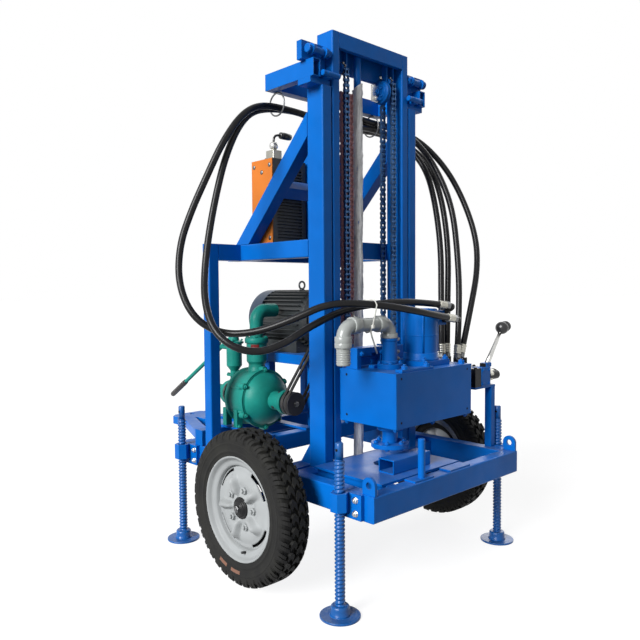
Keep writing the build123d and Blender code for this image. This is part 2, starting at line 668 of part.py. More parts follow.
def jack_brackets():
    """Hexagonal nut sleeves on plates bolted to the side beams, one at each corner."""
    rows = []
    plate_x = (HALF_WIDTH, JACK_X - SCREW_RADIUS - 6)
    for y in JACK_YS:
        nut = hexagon((JACK_X, y), NUT_ACROSS_FLATS, NUT_BOTTOM, NUT_TOP)
        plate = block(plate_x, (y - JACK_PLATE_LENGTH + 30, y + 30), (JACK_PLATE_BOTTOM, BEAM_TOP))
        bore = round_bar((JACK_X, y, NUT_BOTTOM - 1), (JACK_X, y, NUT_TOP + 1),
                         SCREW_RADIUS + SCREW_CLEARANCE)
        rows.append(nut + plate - bore)
    return both_sides(group(rows))


def jack_screw(side, y):
    """Jack screw with its foot, and the plain end with a hole for the turning bar."""
    x = side * JACK_X
    foot = Pos(x, y, 0) * Cylinder(FOOT_RADIUS, FOOT_THICKNESS, align=(Align.CENTER, Align.CENTER, Align.MIN))
    hub = round_bar((x, y, FOOT_THICKNESS), (x, y, FOOT_HUB_HEIGHT), FOOT_HUB_RADIUS)
    hub = chamfer(hub.edges().sort_by(Axis.Z)[-1], 4)
    screw = round_bar((x, y, FOOT_HUB_HEIGHT), (x, y, SCREW_THREAD_TOP), SCREW_RADIUS)
    end = round_bar((x, y, SCREW_THREAD_TOP), (x, y, SCREW_TOP), SCREW_END_RADIUS)
    hole_z = (SCREW_THREAD_TOP + SCREW_TOP) / 2 + 6
    hole = round_bar((x - 30, y, hole_z), (x + 30, y, hole_z), SCREW_BAR_HOLE)
    return foot + hub + screw + end - hole


def inner_columns():
    x = (SLIDE_INNER_X, SLIDE_OUTER_X)
    return both_sides(bar(x, (MAST_FRONT, MAST_BACK), (INNER_BOTTOM, INNER_TOP)))


def crown():
    """Top of the inner frame: front and rear plates, chain sprockets on a pin, and the lift rod."""
    x = (-SLIDE_INNER_X, SLIDE_INNER_X)
    front = block(x, (MAST_FRONT, MAST_FRONT + CROWN_WALL), (INNER_TOP - CROWN_HEIGHT, INNER_TOP))
    rear = block(x, (MAST_BACK - CROWN_WALL, MAST_BACK), (INNER_TOP - CROWN_DEEP_HEIGHT, INNER_TOP))
    roof = block(x, (MAST_FRONT + CROWN_WALL, MAST_BACK - CROWN_WALL), (INNER_TOP - CROWN_ROOF, INNER_TOP))
    shape = front + rear + roof
    for sign in (-1, 1):
        shape += crown_sprocket(sign)
    return shape


def crown_sprocket(sign):
    """Chain sprocket between two hanger plates."""
    y = CHAIN_Y + SPROCKET_RADIUS
    x = sign * CHAIN_X
    wheel_body = round_bar((x - CHAIN_WIDTH / 2, y, SPROCKET_HEIGHT),
                           (x + CHAIN_WIDTH / 2, y, SPROCKET_HEIGHT),
                           SPROCKET_RADIUS - CHAIN_THICKNESS / 2)
    pin = round_bar((x - 22, y, SPROCKET_HEIGHT), (x + 22, y, SPROCKET_HEIGHT), SPROCKET_PIN_RADIUS)
    cheeks = []
    for offset in (-22, 16):
        cheeks.append(block((x + offset, x + offset + 6), (y - 12, y + 12),
                            (SPROCKET_HEIGHT - 12, INNER_TOP - CROWN_ROOF)))
    return wheel_body + pin + cheeks[0] + cheeks[1]


def lift_rod():
    return round_bar((LIFT_X, LIFT_Y, LIFT_TOP - LIFT_STROKE), (LIFT_X, LIFT_Y, INNER_TOP - CROWN_ROOF),
                     LIFT_ROD_RADIUS)


def lift_cylinder():
    """Barrel of the lift cylinder standing on the mast seat, bored for its rod."""
    barrel = round_bar((LIFT_X, LIFT_Y, SEAT_TOP), (LIFT_X, LIFT_Y, LIFT_TOP), LIFT_RADIUS)
    bore = round_bar((LIFT_X, LIFT_Y, LIFT_TOP - LIFT_STROKE - 20), (LIFT_X, LIFT_Y, LIFT_TOP + 1),
                     LIFT_ROD_RADIUS + LIFT_ROD_CLEARANCE)
    return barrel - bore


def chain_outline(y, low, high):
    """Waisted outline of a run of chain plates, and its number of links."""
    links = round((high - low) / CHAIN_PITCH)
    pitch = (high - low) / links
    edge = [(CHAIN_THICKNESS / 2, high)]
    for index in reversed(range(links)):
        edge.append((CHAIN_WAIST, low + pitch * (index + 0.5)))
        edge.append((CHAIN_THICKNESS / 2, low + pitch * index))
    back = [(-depth, z) for depth, z in reversed(edge)]
    return make_face(Polyline(*[(y + depth, z) for depth, z in edge + back], close=True)), links, pitch


def chain_front(x):
    """A strand in front of the mast: two rows of side plates with the rollers between them."""
    outline, links, pitch = chain_outline(CHAIN_Y, CHAIN_BOTTOM, SPROCKET_HEIGHT)
    half = CHAIN_WIDTH / 2
    strand = extrude(Plane.YZ.offset(x - half) * outline, CHAIN_PLATE)
    strand += extrude(Plane.YZ.offset(x + half - CHAIN_PLATE) * outline, CHAIN_PLATE)
    between = (x - half + CHAIN_PLATE, x + half - CHAIN_PLATE)
    for index in range(links):
        z = CHAIN_BOTTOM + pitch * (index + 0.5)
        strand += block(between, (CHAIN_Y - CHAIN_WAIST, CHAIN_Y + CHAIN_WAIST),
                        (z - CHAIN_PLATE, z + CHAIN_PLATE))
    return strand


def chain_return(x):
    """A strand behind, from its anchor on the mast seat up to the sprocket."""
    outline = chain_outline(RETURN_Y, SEAT_TOP, SPROCKET_HEIGHT - CHAIN_TOP_GAP)[0]
    return extrude(Plane.YZ.offset(x - CHAIN_WIDTH / 2) * outline, CHAIN_WIDTH)


def head_box():
    """Gear case of the drill head with its cover plate and the spindle's bearing seat."""
    body = block((-HEAD_HALF_WIDTH, HEAD_HALF_WIDTH), (HEAD_FRONT, HEAD_REAR),
                 (HEAD_BOTTOM, HEAD_TOP - HEAD_PLATE))
    body = fillet(body.edges().filter_by(Axis.Z), 4)
    cover = block((-HEAD_HALF_WIDTH, HEAD_HALF_WIDTH), (HEAD_FRONT, HEAD_REAR),
                  (HEAD_TOP - HEAD_PLATE, HEAD_TOP))
    collar = round_bar((SPINDLE_X, SPINDLE_Y, HEAD_BOTTOM - 30), (SPINDLE_X, SPINDLE_Y, HEAD_BOTTOM), 46)
    seat = round_bar((SPINDLE_X, SPINDLE_Y, HEAD_BOTTOM - 31),
                     (SPINDLE_X, SPINDLE_Y, HEAD_BOTTOM + SPINDLE_SEAT_DEPTH),
                     SPINDLE_SHAFT_RADIUS + BEARING_CLEARANCE)
    return body + cover + collar + head_yoke() - seat


def head_yoke():
    """Portal on the gear case, behind the swivel: two cheeks, a top bar and a tie."""
    outside = block(YOKE_X, YOKE_Y, (HEAD_TOP, YOKE_TOP))
    inner_x = (YOKE_X[0] + YOKE_WALL, YOKE_X[1] - YOKE_WALL)
    gap = block(inner_x, (YOKE_Y[0] - 1, YOKE_Y[1] + 1), (HEAD_TOP, YOKE_TOP - YOKE_WALL))
    middle = (YOKE_Y[0] + YOKE_Y[1]) / 2
    tie = round_bar((inner_x[0] - 1, middle, YOKE_TOP - 2 * YOKE_WALL),
                    (inner_x[1] + 1, middle, YOKE_TOP - 2 * YOKE_WALL), 6)
    return outside - gap + tie


def head_carriage():
    """Plate behind the gear case with the shoes that run between the inner columns."""
    plate = block((-CARRIAGE_HALF_WIDTH, CARRIAGE_HALF_WIDTH), (HEAD_REAR, MAST_FRONT - 6),
                  (HEAD_BOTTOM, CHAIN_BOTTOM))
    shoe_x = (104, SLIDE_INNER_X - 5)
    shoe = block(shoe_x, (MAST_FRONT - 6, MAST_BACK - 6), (HEAD_BOTTOM + 8, CHAIN_BOTTOM))
    half = CHAIN_WIDTH / 2 + CHAIN_SLOT_GAP
    slot_front = RETURN_Y - CHAIN_THICKNESS / 2 - CHAIN_SLOT_GAP
    slot = block((CHAIN_X - half, CHAIN_X + half), (slot_front, MAST_BACK), (HEAD_BOTTOM, CHAIN_BOTTOM + 1))
    return plate + both_sides(shoe - slot)


def drive_motor():
    """Hydraulic motor on its square flange, on top of the gear case."""
    half = MOTOR_FLANGE / 2
    base = block((MOTOR_X - half, MOTOR_X + half), (SPINDLE_Y - half, SPINDLE_Y + half),
                 (HEAD_TOP, HEAD_TOP + MOTOR_FLANGE_HEIGHT))
    body = round_bar((MOTOR_X, SPINDLE_Y, HEAD_TOP + MOTOR_FLANGE_HEIGHT), (MOTOR_X, SPINDLE_Y, MOTOR_TOP),
                     MOTOR_RADIUS)
    body = fillet(body.edges().sort_by(Axis.Z)[-1], 5)
    return base + body


def swivel():
    """Water swivel: the upright pipe on the gear case, in line with the spindle."""
    foot = round_bar((SPINDLE_X, SPINDLE_Y, HEAD_TOP), (SPINDLE_X, SPINDLE_Y, HEAD_TOP + 18), 44)
    pipe = round_bar((SPINDLE_X, SPINDLE_Y, HEAD_TOP + 18), (SPINDLE_X, SPINDLE_Y, SWIVEL_TOP), SWIVEL_RADIUS)
    return foot + pipe


def water_pipe():
    """Grey water pipe: up from the swivel, across to the left, and down to the hose barb."""
    route = FilletPolyline((SPINDLE_X, SPINDLE_Y, SWIVEL_TOP), (SPINDLE_X, SPINDLE_Y, WATER_HEIGHT),
                           (BARB_X, SPINDLE_Y, WATER_HEIGHT), (BARB_X, SPINDLE_Y, BARB_BOTTOM),
                           radius=WATER_BEND)
    pipe = sweep(Plane(origin=(SPINDLE_X, SPINDLE_Y, SWIVEL_TOP), z_dir=(0, 0, 1)) * Circle(WATER_RADIUS),
                 path=route)
    collar_low = BARB_BOTTOM + BARB_LENGTH
    for x, low, high in ((SPINDLE_X, SWIVEL_TOP, SWIVEL_TOP + WATER_COLLAR),
                         (BARB_X, collar_low, collar_low + BARB_COLLAR)):
        pipe += round_bar((x, SPINDLE_Y, low), (x, SPINDLE_Y, high), WATER_SOCKET_RADIUS)
    mouth = round_bar((BARB_X, SPINDLE_Y, BARB_BOTTOM - 1),
                      (BARB_X, SPINDLE_Y, BARB_BOTTOM + BARB_BORE_DEPTH),
                      BARB_BORE_RADIUS)
    return pipe - mouth


def drill_spindle():
    """Spindle hanging from the gear case: shaft, flange and the threaded socket for the drill rod."""
    top = HEAD_BOTTOM + SPINDLE_SEAT_DEPTH - 4
    shaft = round_bar((SPINDLE_X, SPINDLE_Y, SPINDLE_BOTTOM), (SPINDLE_X, SPINDLE_Y, top),
                      SPINDLE_SHAFT_RADIUS)
    flange = round_bar((SPINDLE_X, SPINDLE_Y, SPINDLE_FLANGE_BOTTOM),
                       (SPINDLE_X, SPINDLE_Y, SPINDLE_FLANGE_BOTTOM + SPINDLE_FLANGE_HEIGHT),
                       SPINDLE_FLANGE_RADIUS)
    socket = round_bar((SPINDLE_X, SPINDLE_Y, SPINDLE_BOTTOM - 1),
                       (SPINDLE_X, SPINDLE_Y, SPINDLE_BOTTOM + SPINDLE_BORE_DEPTH), SPINDLE_BORE_RADIUS)
    return shaft + flange - socket


def electric_motor():
    """Finned motor with its end shields, foot, terminal box and lifting eye."""
    axis = (ELECTRIC_X, ELECTRIC_Z)
    finned = (ELECTRIC_FRONT + 35, ELECTRIC_REAR - COWL_LENGTH)
    body = round_bar((axis[0], ELECTRIC_FRONT, axis[1]), (axis[0], finned[1], axis[1]), ELECTRIC_RADIUS)
    body = chamfer(body.edges().sort_by(Axis.Y)[0], 14)
    shape = body
    for index in range(FIN_COUNT):
        angle = 360 * index / FIN_COUNT
        fin = block((-FIN_THICKNESS / 2, FIN_THICKNESS / 2), finned,
                    (ELECTRIC_RADIUS - 3, ELECTRIC_RADIUS + FIN_HEIGHT))
        shape += Pos(axis[0], 0, axis[1]) * Rot(Y=angle) * fin
    shaft = round_bar((axis[0], PULLEY_Y - PULLEY_WIDTH / 2 + 4, axis[1]), (axis[0], ELECTRIC_FRONT, axis[1]),
                      MOTOR_SHAFT_RADIUS)
    foot_x = (axis[0] - MOTOR_FOOT_REACH, axis[0] + MOTOR_FOOT_REACH)
    foot = block(foot_x, (finned[0] + 20, finned[1] - 20), (STAND_TOP, axis[1] - ELECTRIC_RADIUS + 22))
    return shape + shaft + foot


def motor_cowl():
    """Fan cowl on the motor's rear end, with its rounded edge and a grille of radial slots."""
    start = ELECTRIC_REAR - COWL_LENGTH
    outer = ELECTRIC_RADIUS + FIN_HEIGHT
    shape = round_bar((ELECTRIC_X, start, ELECTRIC_Z), (ELECTRIC_X, ELECTRIC_REAR, ELECTRIC_Z), outer)
    shape = fillet(shape.edges().sort_by(Axis.Y)[-1], COWL_EDGE)
    slot = block((24, outer - COWL_EDGE - 4), (ELECTRIC_REAR - GRILLE_DEPTH, ELECTRIC_REAR + 1), (-4, 4))
    for index in range(GRILLE_SLOTS):
        shape -= Pos(ELECTRIC_X, 0, ELECTRIC_Z) * Rot(Y=360 * index / GRILLE_SLOTS) * slot
    return shape


def motor_stand():
    """Table for the electric motor on four legs above the bearers."""
    legs = block(STAND_X, STAND_Y, (STAND_BOTTOM, STAND_TOP))
    for x in STAND_LEG_XS:
        for y in (STAND_Y[0], STAND_Y[1] - LEG_SIZE - 8):
            legs += block((x, x + LEG_SIZE), (y, y + LEG_SIZE), (BEARER_TOP, STAND_BOTTOM))
    return legs


def pulley(x, z, bore):
    """V-belt pulley with two grooves."""
    half = PULLEY_WIDTH / 2
    with BuildSketch(Plane.XY) as section:
        with BuildLine():
            Polyline((bore, -half), (PULLEY_RADIUS, -half), (PULLEY_RADIUS, -half + 4),
                     (PULLEY_RADIUS - 10, -half + 9),
                     (PULLEY_RADIUS - 10, -half + 13), (PULLEY_RADIUS, -2), (PULLEY_RADIUS, 2),
                     (PULLEY_RADIUS - 10, half - 13), (PULLEY_RADIUS - 10, half - 9),
                     (PULLEY_RADIUS, half - 4),
                     (PULLEY_RADIUS, half), (bore, half), close=True)
        make_face()
    return Pos(x, PULLEY_Y, z) * revolve(section.sketch, Axis.Y)


def pump():
    """Centrifugal pump: domed front, bolted flange with its lugs, volute, bearing nose, shaft and legs."""
    at = lambda y: (PUMP_X, y, PUMP_Z)
    nose = PULLEY_Y + PULLEY_WIDTH / 2 + 6
    rear = VOLUTE_REAR + COVER_LENGTH
    middle = (DOME_FRONT + VOLUTE_FRONT) / 2 - 10
    outline = [(0, nose), (BEARING_RADIUS + 10, nose), (BEARING_RADIUS + 10, nose + 20),
               (BEARING_RADIUS, nose + 26),
               ((BEARING_RADIUS, DOME_FRONT), (DOME_RADIUS * 0.78, middle), (DOME_RADIUS, VOLUTE_FRONT)),
               (COVER_RADIUS, VOLUTE_FRONT), (COVER_RADIUS, VOLUTE_FRONT + FLANGE_THICKNESS),
               (VOLUTE_RADIUS, VOLUTE_FRONT + FLANGE_THICKNESS), (VOLUTE_RADIUS, VOLUTE_REAR - 10),
               (COVER_RADIUS, VOLUTE_REAR), (COVER_RADIUS, VOLUTE_REAR + FLANGE_THICKNESS),
               (COVER_RADIUS - 20, rear - 24), (SUCTION_RADIUS + 14, rear), (0, rear)]
    shape = Pos(PUMP_X, 0, PUMP_Z) * turned(outline)
    shape += round_bar(at(PULLEY_Y - PULLEY_WIDTH / 2 + 4), at(nose), PUMP_SHAFT_RADIUS)
    for index in range(FLANGE_LUGS):
        angle = math.tau * (index + 0.5) / FLANGE_LUGS
        x = PUMP_X + (COVER_RADIUS - 2) * math.cos(angle)
        z = PUMP_Z + (COVER_RADIUS - 2) * math.sin(angle)
        shape += round_bar((x, VOLUTE_FRONT, z), (x, VOLUTE_FRONT + LUG_DEPTH, z), LUG_RADIUS)
    foot_z = (BEARER_TOP + PUMP_STRIP, PUMP_Z - PUMP_FOOT_DROP)
    for sign in (-1, 1):
        x = sorted((PUMP_X + sign * PUMP_FOOT_X, PUMP_X + sign * (PUMP_FOOT_X + 28)))
        arm = sorted((PUMP_X + sign * 40, x[0] if sign < 0 else x[1]))
        for y in (VOLUTE_FRONT + 45, VOLUTE_REAR + 14):
            shape += block(x, (y, y + 24), foot_z)
            shape += block(arm, (y, y + 24), (foot_z[1] - 4, foot_z[1] + 22))
    return shape


def pump_base():
    """Two strips on the bearers that carry the pump's feet."""
    z = (BEARER_TOP, BEARER_TOP + PUMP_STRIP)
    y = (BEARER_FRONTS[0], BEARER_FRONTS[1] + BEARER_WIDTH)
    rows = []
    for sign in (-1, 1):
        x = sorted((PUMP_X + sign * (PUMP_FOOT_X - 4), PUMP_X + sign * (PUMP_FOOT_X + 36)))
        rows.append(block(x, y, z))
    return group(rows)


def pump_outlet():
    """Outlet neck, its flange and the elbow above it."""
    x = PUMP_X + 4
    low = PUMP_Z + VOLUTE_RADIUS - 10
    waist = OUTLET_RADIUS - 8
    outline = [(0, low), (OUTLET_RADIUS, low), (waist, low + 24), (waist, low + 34),
               (OUTLET_RADIUS, low + 46),
               (OUTLET_RADIUS, OUTLET_TOP - 14), (OUTLET_RADIUS + 5, OUTLET_TOP - 14),
               (OUTLET_RADIUS + 5, OUTLET_TOP - 2),
               (OUTLET_RADIUS, OUTLET_TOP), (0, OUTLET_TOP)]
    neck = Pos(x, OUTLET_Y, 0) * Rot(X=90) * turned(outline)
    route = FilletPolyline((x, OUTLET_Y, OUTLET_TOP), (x, OUTLET_Y, ELBOW_TOP),
                           (x + 100, OUTLET_Y, ELBOW_TOP),
                           radius=ELBOW_BEND)
    elbow = sweep(Plane(origin=(x, OUTLET_Y, OUTLET_TOP), z_dir=(0, 0, 1)) * Circle(ELBOW_RADIUS), path=route)
    return neck + elbow - pump()


def suction_pipe():
    """Suction branch behind the pump, with its collar and pipe end."""
    at = lambda y: (PUMP_X, y, PUMP_Z)
    start = VOLUTE_REAR + COVER_LENGTH
    collar_at = start + SUCTION_BRANCH
    tail_at = collar_at + SUCTION_COLLAR
    branch = round_bar(at(start), at(collar_at), SUCTION_RADIUS)
    collar = round_bar(at(collar_at), at(tail_at), SUCTION_RADIUS + 12)
    tail = round_bar(at(tail_at), at(tail_at + SUCTION_TAIL), SUCTION_RADIUS - 12)
    return branch + collar + tail


def priming_pump():
    """Hand priming pump on the suction side: flanged barrel, drain cock and the long lever."""
    x = PUMP_X + PRIMER_SHIFT
    foot = PUMP_Z + SUCTION_RADIUS - 6
    wide = PRIMER_RADIUS + PRIMER_FLANGE
    top = PRIMER_HIGH + PRIMER_HEAD
    outline = [(0, foot), (PRIMER_NECK_RADIUS, foot), (PRIMER_NECK_RADIUS, PRIMER_SEAT),
               (PRIMER_RADIUS, PRIMER_SEAT),
               (PRIMER_RADIUS, PRIMER_SEAT + PRIMER_FLANGE),
               (PRIMER_NECK_RADIUS, PRIMER_SEAT + PRIMER_FLANGE),
               (PRIMER_NECK_RADIUS, PRIMER_LOW - 14), (PRIMER_RADIUS - 6, PRIMER_LOW),
               (PRIMER_RADIUS, PRIMER_LOW + 8), (PRIMER_RADIUS, PRIMER_HIGH - PRIMER_FLANGE),
               (wide, PRIMER_HIGH - PRIMER_FLANGE), (wide, PRIMER_HIGH),
               (PRIMER_NECK_RADIUS + 6, PRIMER_HIGH + 6),
               (PRIMER_NECK_RADIUS, top), (0, top)]
    shape = Pos(x, PRIMER_Y, 0) * Rot(X=90) * turned(outline)
    head = (x, PRIMER_Y, top)
    shape += round_bar((x - 16, PRIMER_Y, top), (x + 16, PRIMER_Y, top), 14)
    shape += round_bar(head, (x, *LEVER_TIP), LEVER_RADIUS)
    shape += round_bar((x, PRIMER_Y, PRIMER_HIGH - 30), (x, COCK_Y, PRIMER_HIGH - 30), 8)
    shape += round_bar((x, COCK_Y, PRIMER_HIGH - 42), (x, COCK_Y, PRIMER_HIGH - COCK_DROP), 15)
    shape += round_bar((x - 14, COCK_Y, PRIMER_HIGH - 34), (x - 14, COCK_Y, PRIMER_HIGH - COCK_HANDLE_DROP),
                       8)
    return shape - suction_pipe()


def oil_cooler():
    """Finned oil cooler with a plain border and the port block on top."""
    z = (UPPER_TOP, COOLER_TOP)
    shape = block(COOLER_X, COOLER_Y, z)
    slots = int((z[1] - z[0] - 2 * COOLER_BORDER) / COOLER_FIN_PITCH)
    for index in range(slots):
        low = z[0] + COOLER_BORDER + index * COOLER_FIN_PITCH
        shape -= block((COOLER_X[0] + COOLER_BORDER, COOLER_X[1] - COOLER_BORDER),
                       (COOLER_Y[0] - 1, COOLER_Y[0] + COOLER_FIN_DEPTH), (low, low + COOLER_FIN_PITCH / 2))
    port = block((COOLER_X[0] + 8, COOLER_X[0] + 50), (COOLER_Y[0] + 4, COOLER_Y[0] + 50), (z[1], z[1] + 34))
    return shape + port


def cooler_plate():
    """Orange side plate of the cooler."""
    return block((COOLER_X[0] - COOLER_PLATE, COOLER_X[0]), COOLER_Y, (UPPER_TOP, COOLER_TOP))


def oil_tank():
    tank = block(TANK_X, TANK_Y, (UPPER_TOP, TANK_TOP))
    tank = fillet(tank.edges().filter_by(Axis.Z), 12)
    filler = round_bar((TANK_X[1] - 36, TANK_Y[1] - 60, TANK_TOP),
                       (TANK_X[1] - 36, TANK_Y[1] - 60, TANK_TOP + 30), 26)
    return tank + filler


def cooler_bearers():
    """Two flat bars across the upper frame that carry the cooler and the tank."""
    inner = COLUMN_OUTER_X - UPPER_WIDTH
    rows = []
    for start in TANK_BEARERS:
        rows.append(block((-inner, inner), (start, start + 50), (UPPER_TOP - 40, UPPER_TOP)))
    return rows


def valve_post():
    """Post on the right side beam with the shelf under the control valve."""
    post = bar(VALVE_POST_X, VALVE_POST_Y, (BEAM_TOP, VALVE_POST_TOP), corner=3)
    shelf = block((VALVE_X[0], VALVE_POST_X[1]), (VALVE_POST_Y[0], VALVE_Y[1]),
                  (VALVE_POST_TOP, VALVE_BOTTOM))
    return post + shelf


def control_valve():
    """Control valve with its ports, the spool cap and the hand lever."""
    body = block(VALVE_X, VALVE_Y, (VALVE_BOTTOM, VALVE_TOP))
    middle_z = (VALVE_BOTTOM + VALVE_TOP) / 2
    cap = round_bar((VALVE_X[1], LEVER_FOOT[1], middle_z), (VALVE_X[1] + 70, LEVER_FOOT[1], middle_z), 18)
    shape = body + cap
    for x, y in VALVE_PORTS:
        shape += round_bar((x, y, VALVE_TOP), (x, y, PORT_TOP - FERRULE_LENGTH + 4), PORT_RADIUS + 4)
    pivot = block((LEVER_FOOT[0] - 26, LEVER_FOOT[0] + 14), (LEVER_FOOT[1] - 12, LEVER_FOOT[1] + 12),
                  (VALVE_TOP, VALVE_TOP + 16))
    rod = round_bar(LEVER_FOOT, LEVER_KNOB, 6)
    knob = Pos(*LEVER_KNOB) * Sphere(21)
    return shape + pivot + rod + knob


def far_end(name):
    """The last point of a hose and its direction there."""
    before, end = (Vector(*point) for point in HOSES[name][-2:])
    return end, (end - before).normalized()


def near_end(name):
    """The first point of a hose and the direction out of it, away from the hose."""
    start, after = (Vector(*point) for point in HOSES[name][:2])
    return start, (start - after).normalized()


def motor_ports():
    """Port block on the drive motor's side, with an elbow and a ferrule for each hose."""
    block_top = MOTOR_TOP - PORT_BLOCK_DROP
    shape = block((MOTOR_X + MOTOR_RADIUS - 8, MOTOR_X + MOTOR_RADIUS + PORT_BLOCK_REACH),
                  (SPINDLE_Y - 24, SPINDLE_Y + 24),
                  (block_top - PORT_BLOCK_HEIGHT, block_top))
    for name, back in DRIVE_ENDS:
        end, run = far_end(name)
        tip = end + run * ELBOW_REACH
        shape += round_bar(end, end + run * FERRULE_LENGTH, FERRULE_RADIUS)
        shape += round_bar(end + run * (FERRULE_LENGTH - 2), tip, PORT_RADIUS)
        shape += Pos(tip.X, tip.Y, tip.Z) * Sphere(PORT_RADIUS) + round_bar(tip, back, PORT_RADIUS)
    return shape - drive_motor()


def ferrules():
    """Crimped ferrules of the hoses on the control valve and on the oil tank."""
    rows = []
    valve = control_valve()
    for name in VALVE_ENDS:
        start, out = near_end(name)
        rows.append(round_bar(start, start + out * FERRULE_LENGTH, FERRULE_RADIUS) - valve)
    tank = oil_tank()
    for name in TANK_ENDS:
        end, run = far_end(name)
        rows.append(round_bar(end, end + run * (2 * FERRULE_LENGTH), FERRULE_RADIUS) - tank)
    return group(rows)


def hose(name):
    """A hose as straight runs joined by tangent arcs, each as large as its two runs allow."""
    points = [Vector(*point) for point in HOSES[name]]
    radii = []
    for before, point, after in zip(points, points[1:], points[2:]):
        turn = math.radians((point - before).get_angle(after - point))
        shorter = min((point - before).length, (after - point).length)
        radii.append(ARC_SHARE * shorter / math.tan(turn / 2))
    path = FilletPolyline(*points, radius=radii)
    section = Plane(origin=points[0], z_dir=points[1] - points[0]) * Circle(HOSE_RADIUS)
    tube = sweep(section, path=path)
    share = tube.volume / (math.pi * HOSE_RADIUS ** 2 * path.length)
    print(name, "length", round(path.length), "least radius", round(min(radii)), "volume share",
          round(share, 4))
    return tube


def belts():
    """The pair of V-belts round the two pulleys."""
    lower, upper = Vector(PUMP_X, PUMP_Z), Vector(ELECTRIC_X, ELECTRIC_Z)
    length = (upper - lower).length
    angle = math.degrees(math.atan2(upper.Y - lower.Y, upper.X - lower.X))
    middle = (lower + upper) * 0.5
    pitch_radius = PULLEY_RADIUS - BELT_HEIGHT / 2 + BELT_RISE
    path = SlotCenterToCenter(length, 2 * pitch_radius).wire()
    start = path.location_at(0)
    section = make_face(Polyline((-BELT_TOP / 2, BELT_HEIGHT / 2), (BELT_TOP / 2, BELT_HEIGHT / 2),
                                 (BELT_BASE / 2, -BELT_HEIGHT / 2), (-BELT_BASE / 2, -BELT_HEIGHT / 2),
                                 close=True))
    tangent = path.tangent_at(0)
    outward = tangent.cross(Vector(0, 0, 1))
    if (path.position_at(0) + outward).length < path.position_at(0).length:
        outward = outward * -1
    plane = Plane(origin=path.position_at(0), x_dir=outward.cross(tangent), z_dir=tangent)
    loop = sweep(plane * section, path=path)
    shapes = []
    for offset in (-BELT_SPACING / 2, BELT_SPACING / 2):
        upright = Plane(origin=(middle.X, PULLEY_Y + offset, middle.Y), x_dir=(1, 0, 0), z_dir=(0, -1, 0))
        shapes.append(upright * Rot(Z=angle) * loop)
    return shapes


def save(name, shape):
    """Write one node, moved so that the origin is midway along the rig."""
    export_step(Pos(0, -ORIGIN_Y, 0) * shape, f"parts/{name}.step")


def main():
    os.makedirs("parts", exist_ok=True)
    braces, brace_cross = mast_braces()
    nodes = {
        "chassis_side_beams": side_beams(),
        "chassis_cross_beams": cross_beams(),
        "lifting_ears": lifting_ears(),
        "rod_table": rod_table(),
        "stop_pin": stop_pin(),
        "mast_columns": mast_columns(),
        "mast_guides": mast_guides(),
        "hose_hanger": hose_hanger(),
        "hanging_rings": hanging_rings(),
        "rear_posts": rear_posts(),
        "upper_beams": group(upper_beams() + cooler_bearers()),
        "mast_braces": group([braces, brace_cross]),
        "drawbar": drawbar(),
        "drawbar_arms": drawbar_arms(),
        "axle": axle(),
        "jack_brackets": jack_brackets(),
        "electric_motor": electric_motor(),
        "motor_cowl": motor_cowl(),
        "motor_stand": motor_stand(),
        "drive_pulleys": group([pulley(*place) for place in PULLEYS]),
        "drive_belts": group(belts()),
        "pump": pump(),
        "pump_base": pump_base(),
        "pump_outlet": pump_outlet(),
        "suction_pipe": suction_pipe(),
        "priming_pump": priming_pump(),
        "oil_cooler": oil_cooler(),
        "cooler_plate": cooler_plate(),
        "oil_tank": oil_tank(),
        "valve_post": valve_post(),
        "control_valve": control_valve(),
        "lift_cylinder": lift_cylinder(),
        "inner_columns": inner_columns(),
        "mast_crown": crown() + lift_rod(),
        "lift_chains": group([chain_front(-CHAIN_X), chain_front(CHAIN_X)]),
        "chain_returns": group([chain_return(-CHAIN_X), chain_return(CHAIN_X)]),
        "head_box": head_box(),
        "head_carriage": head_carriage(),
        "drive_motor": drive_motor(),
        "motor_ports": motor_ports(),
        "hose_ferrules": ferrules(),
        "swivel_pipe": swivel(),
        "water_pipe": water_pipe(),
        "drill_spindle": drill_spindle(),
        "tyre_left": tyre(-1),
        "tyre_right": tyre(1),
        "wheel_left": wheel(-1),
        "wheel_right": wheel(1),
        "jack_screw_front_left": jack_screw(-1, JACK_YS[0]),
        "jack_screw_front_right": jack_screw(1, JACK_YS[0]),
        "jack_screw_rear_left": jack_screw(-1, JACK_YS[1]),
        "jack_screw_rear_right": jack_screw(1, JACK_YS[1]),
    }
    for name in HOSES:
        nodes[name] = hose(name)
    for name, shape in nodes.items():
        save(name, shape)


main()
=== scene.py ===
"""Looks of the water well drilling rig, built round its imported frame. Z is up, and the front is at -Y.

Shapes and routes are written in millimetres, and become metres when a piece is finished.
"""
import math
from itertools import product

import bmesh
import bpy
from mathutils import Matrix, Vector, noise


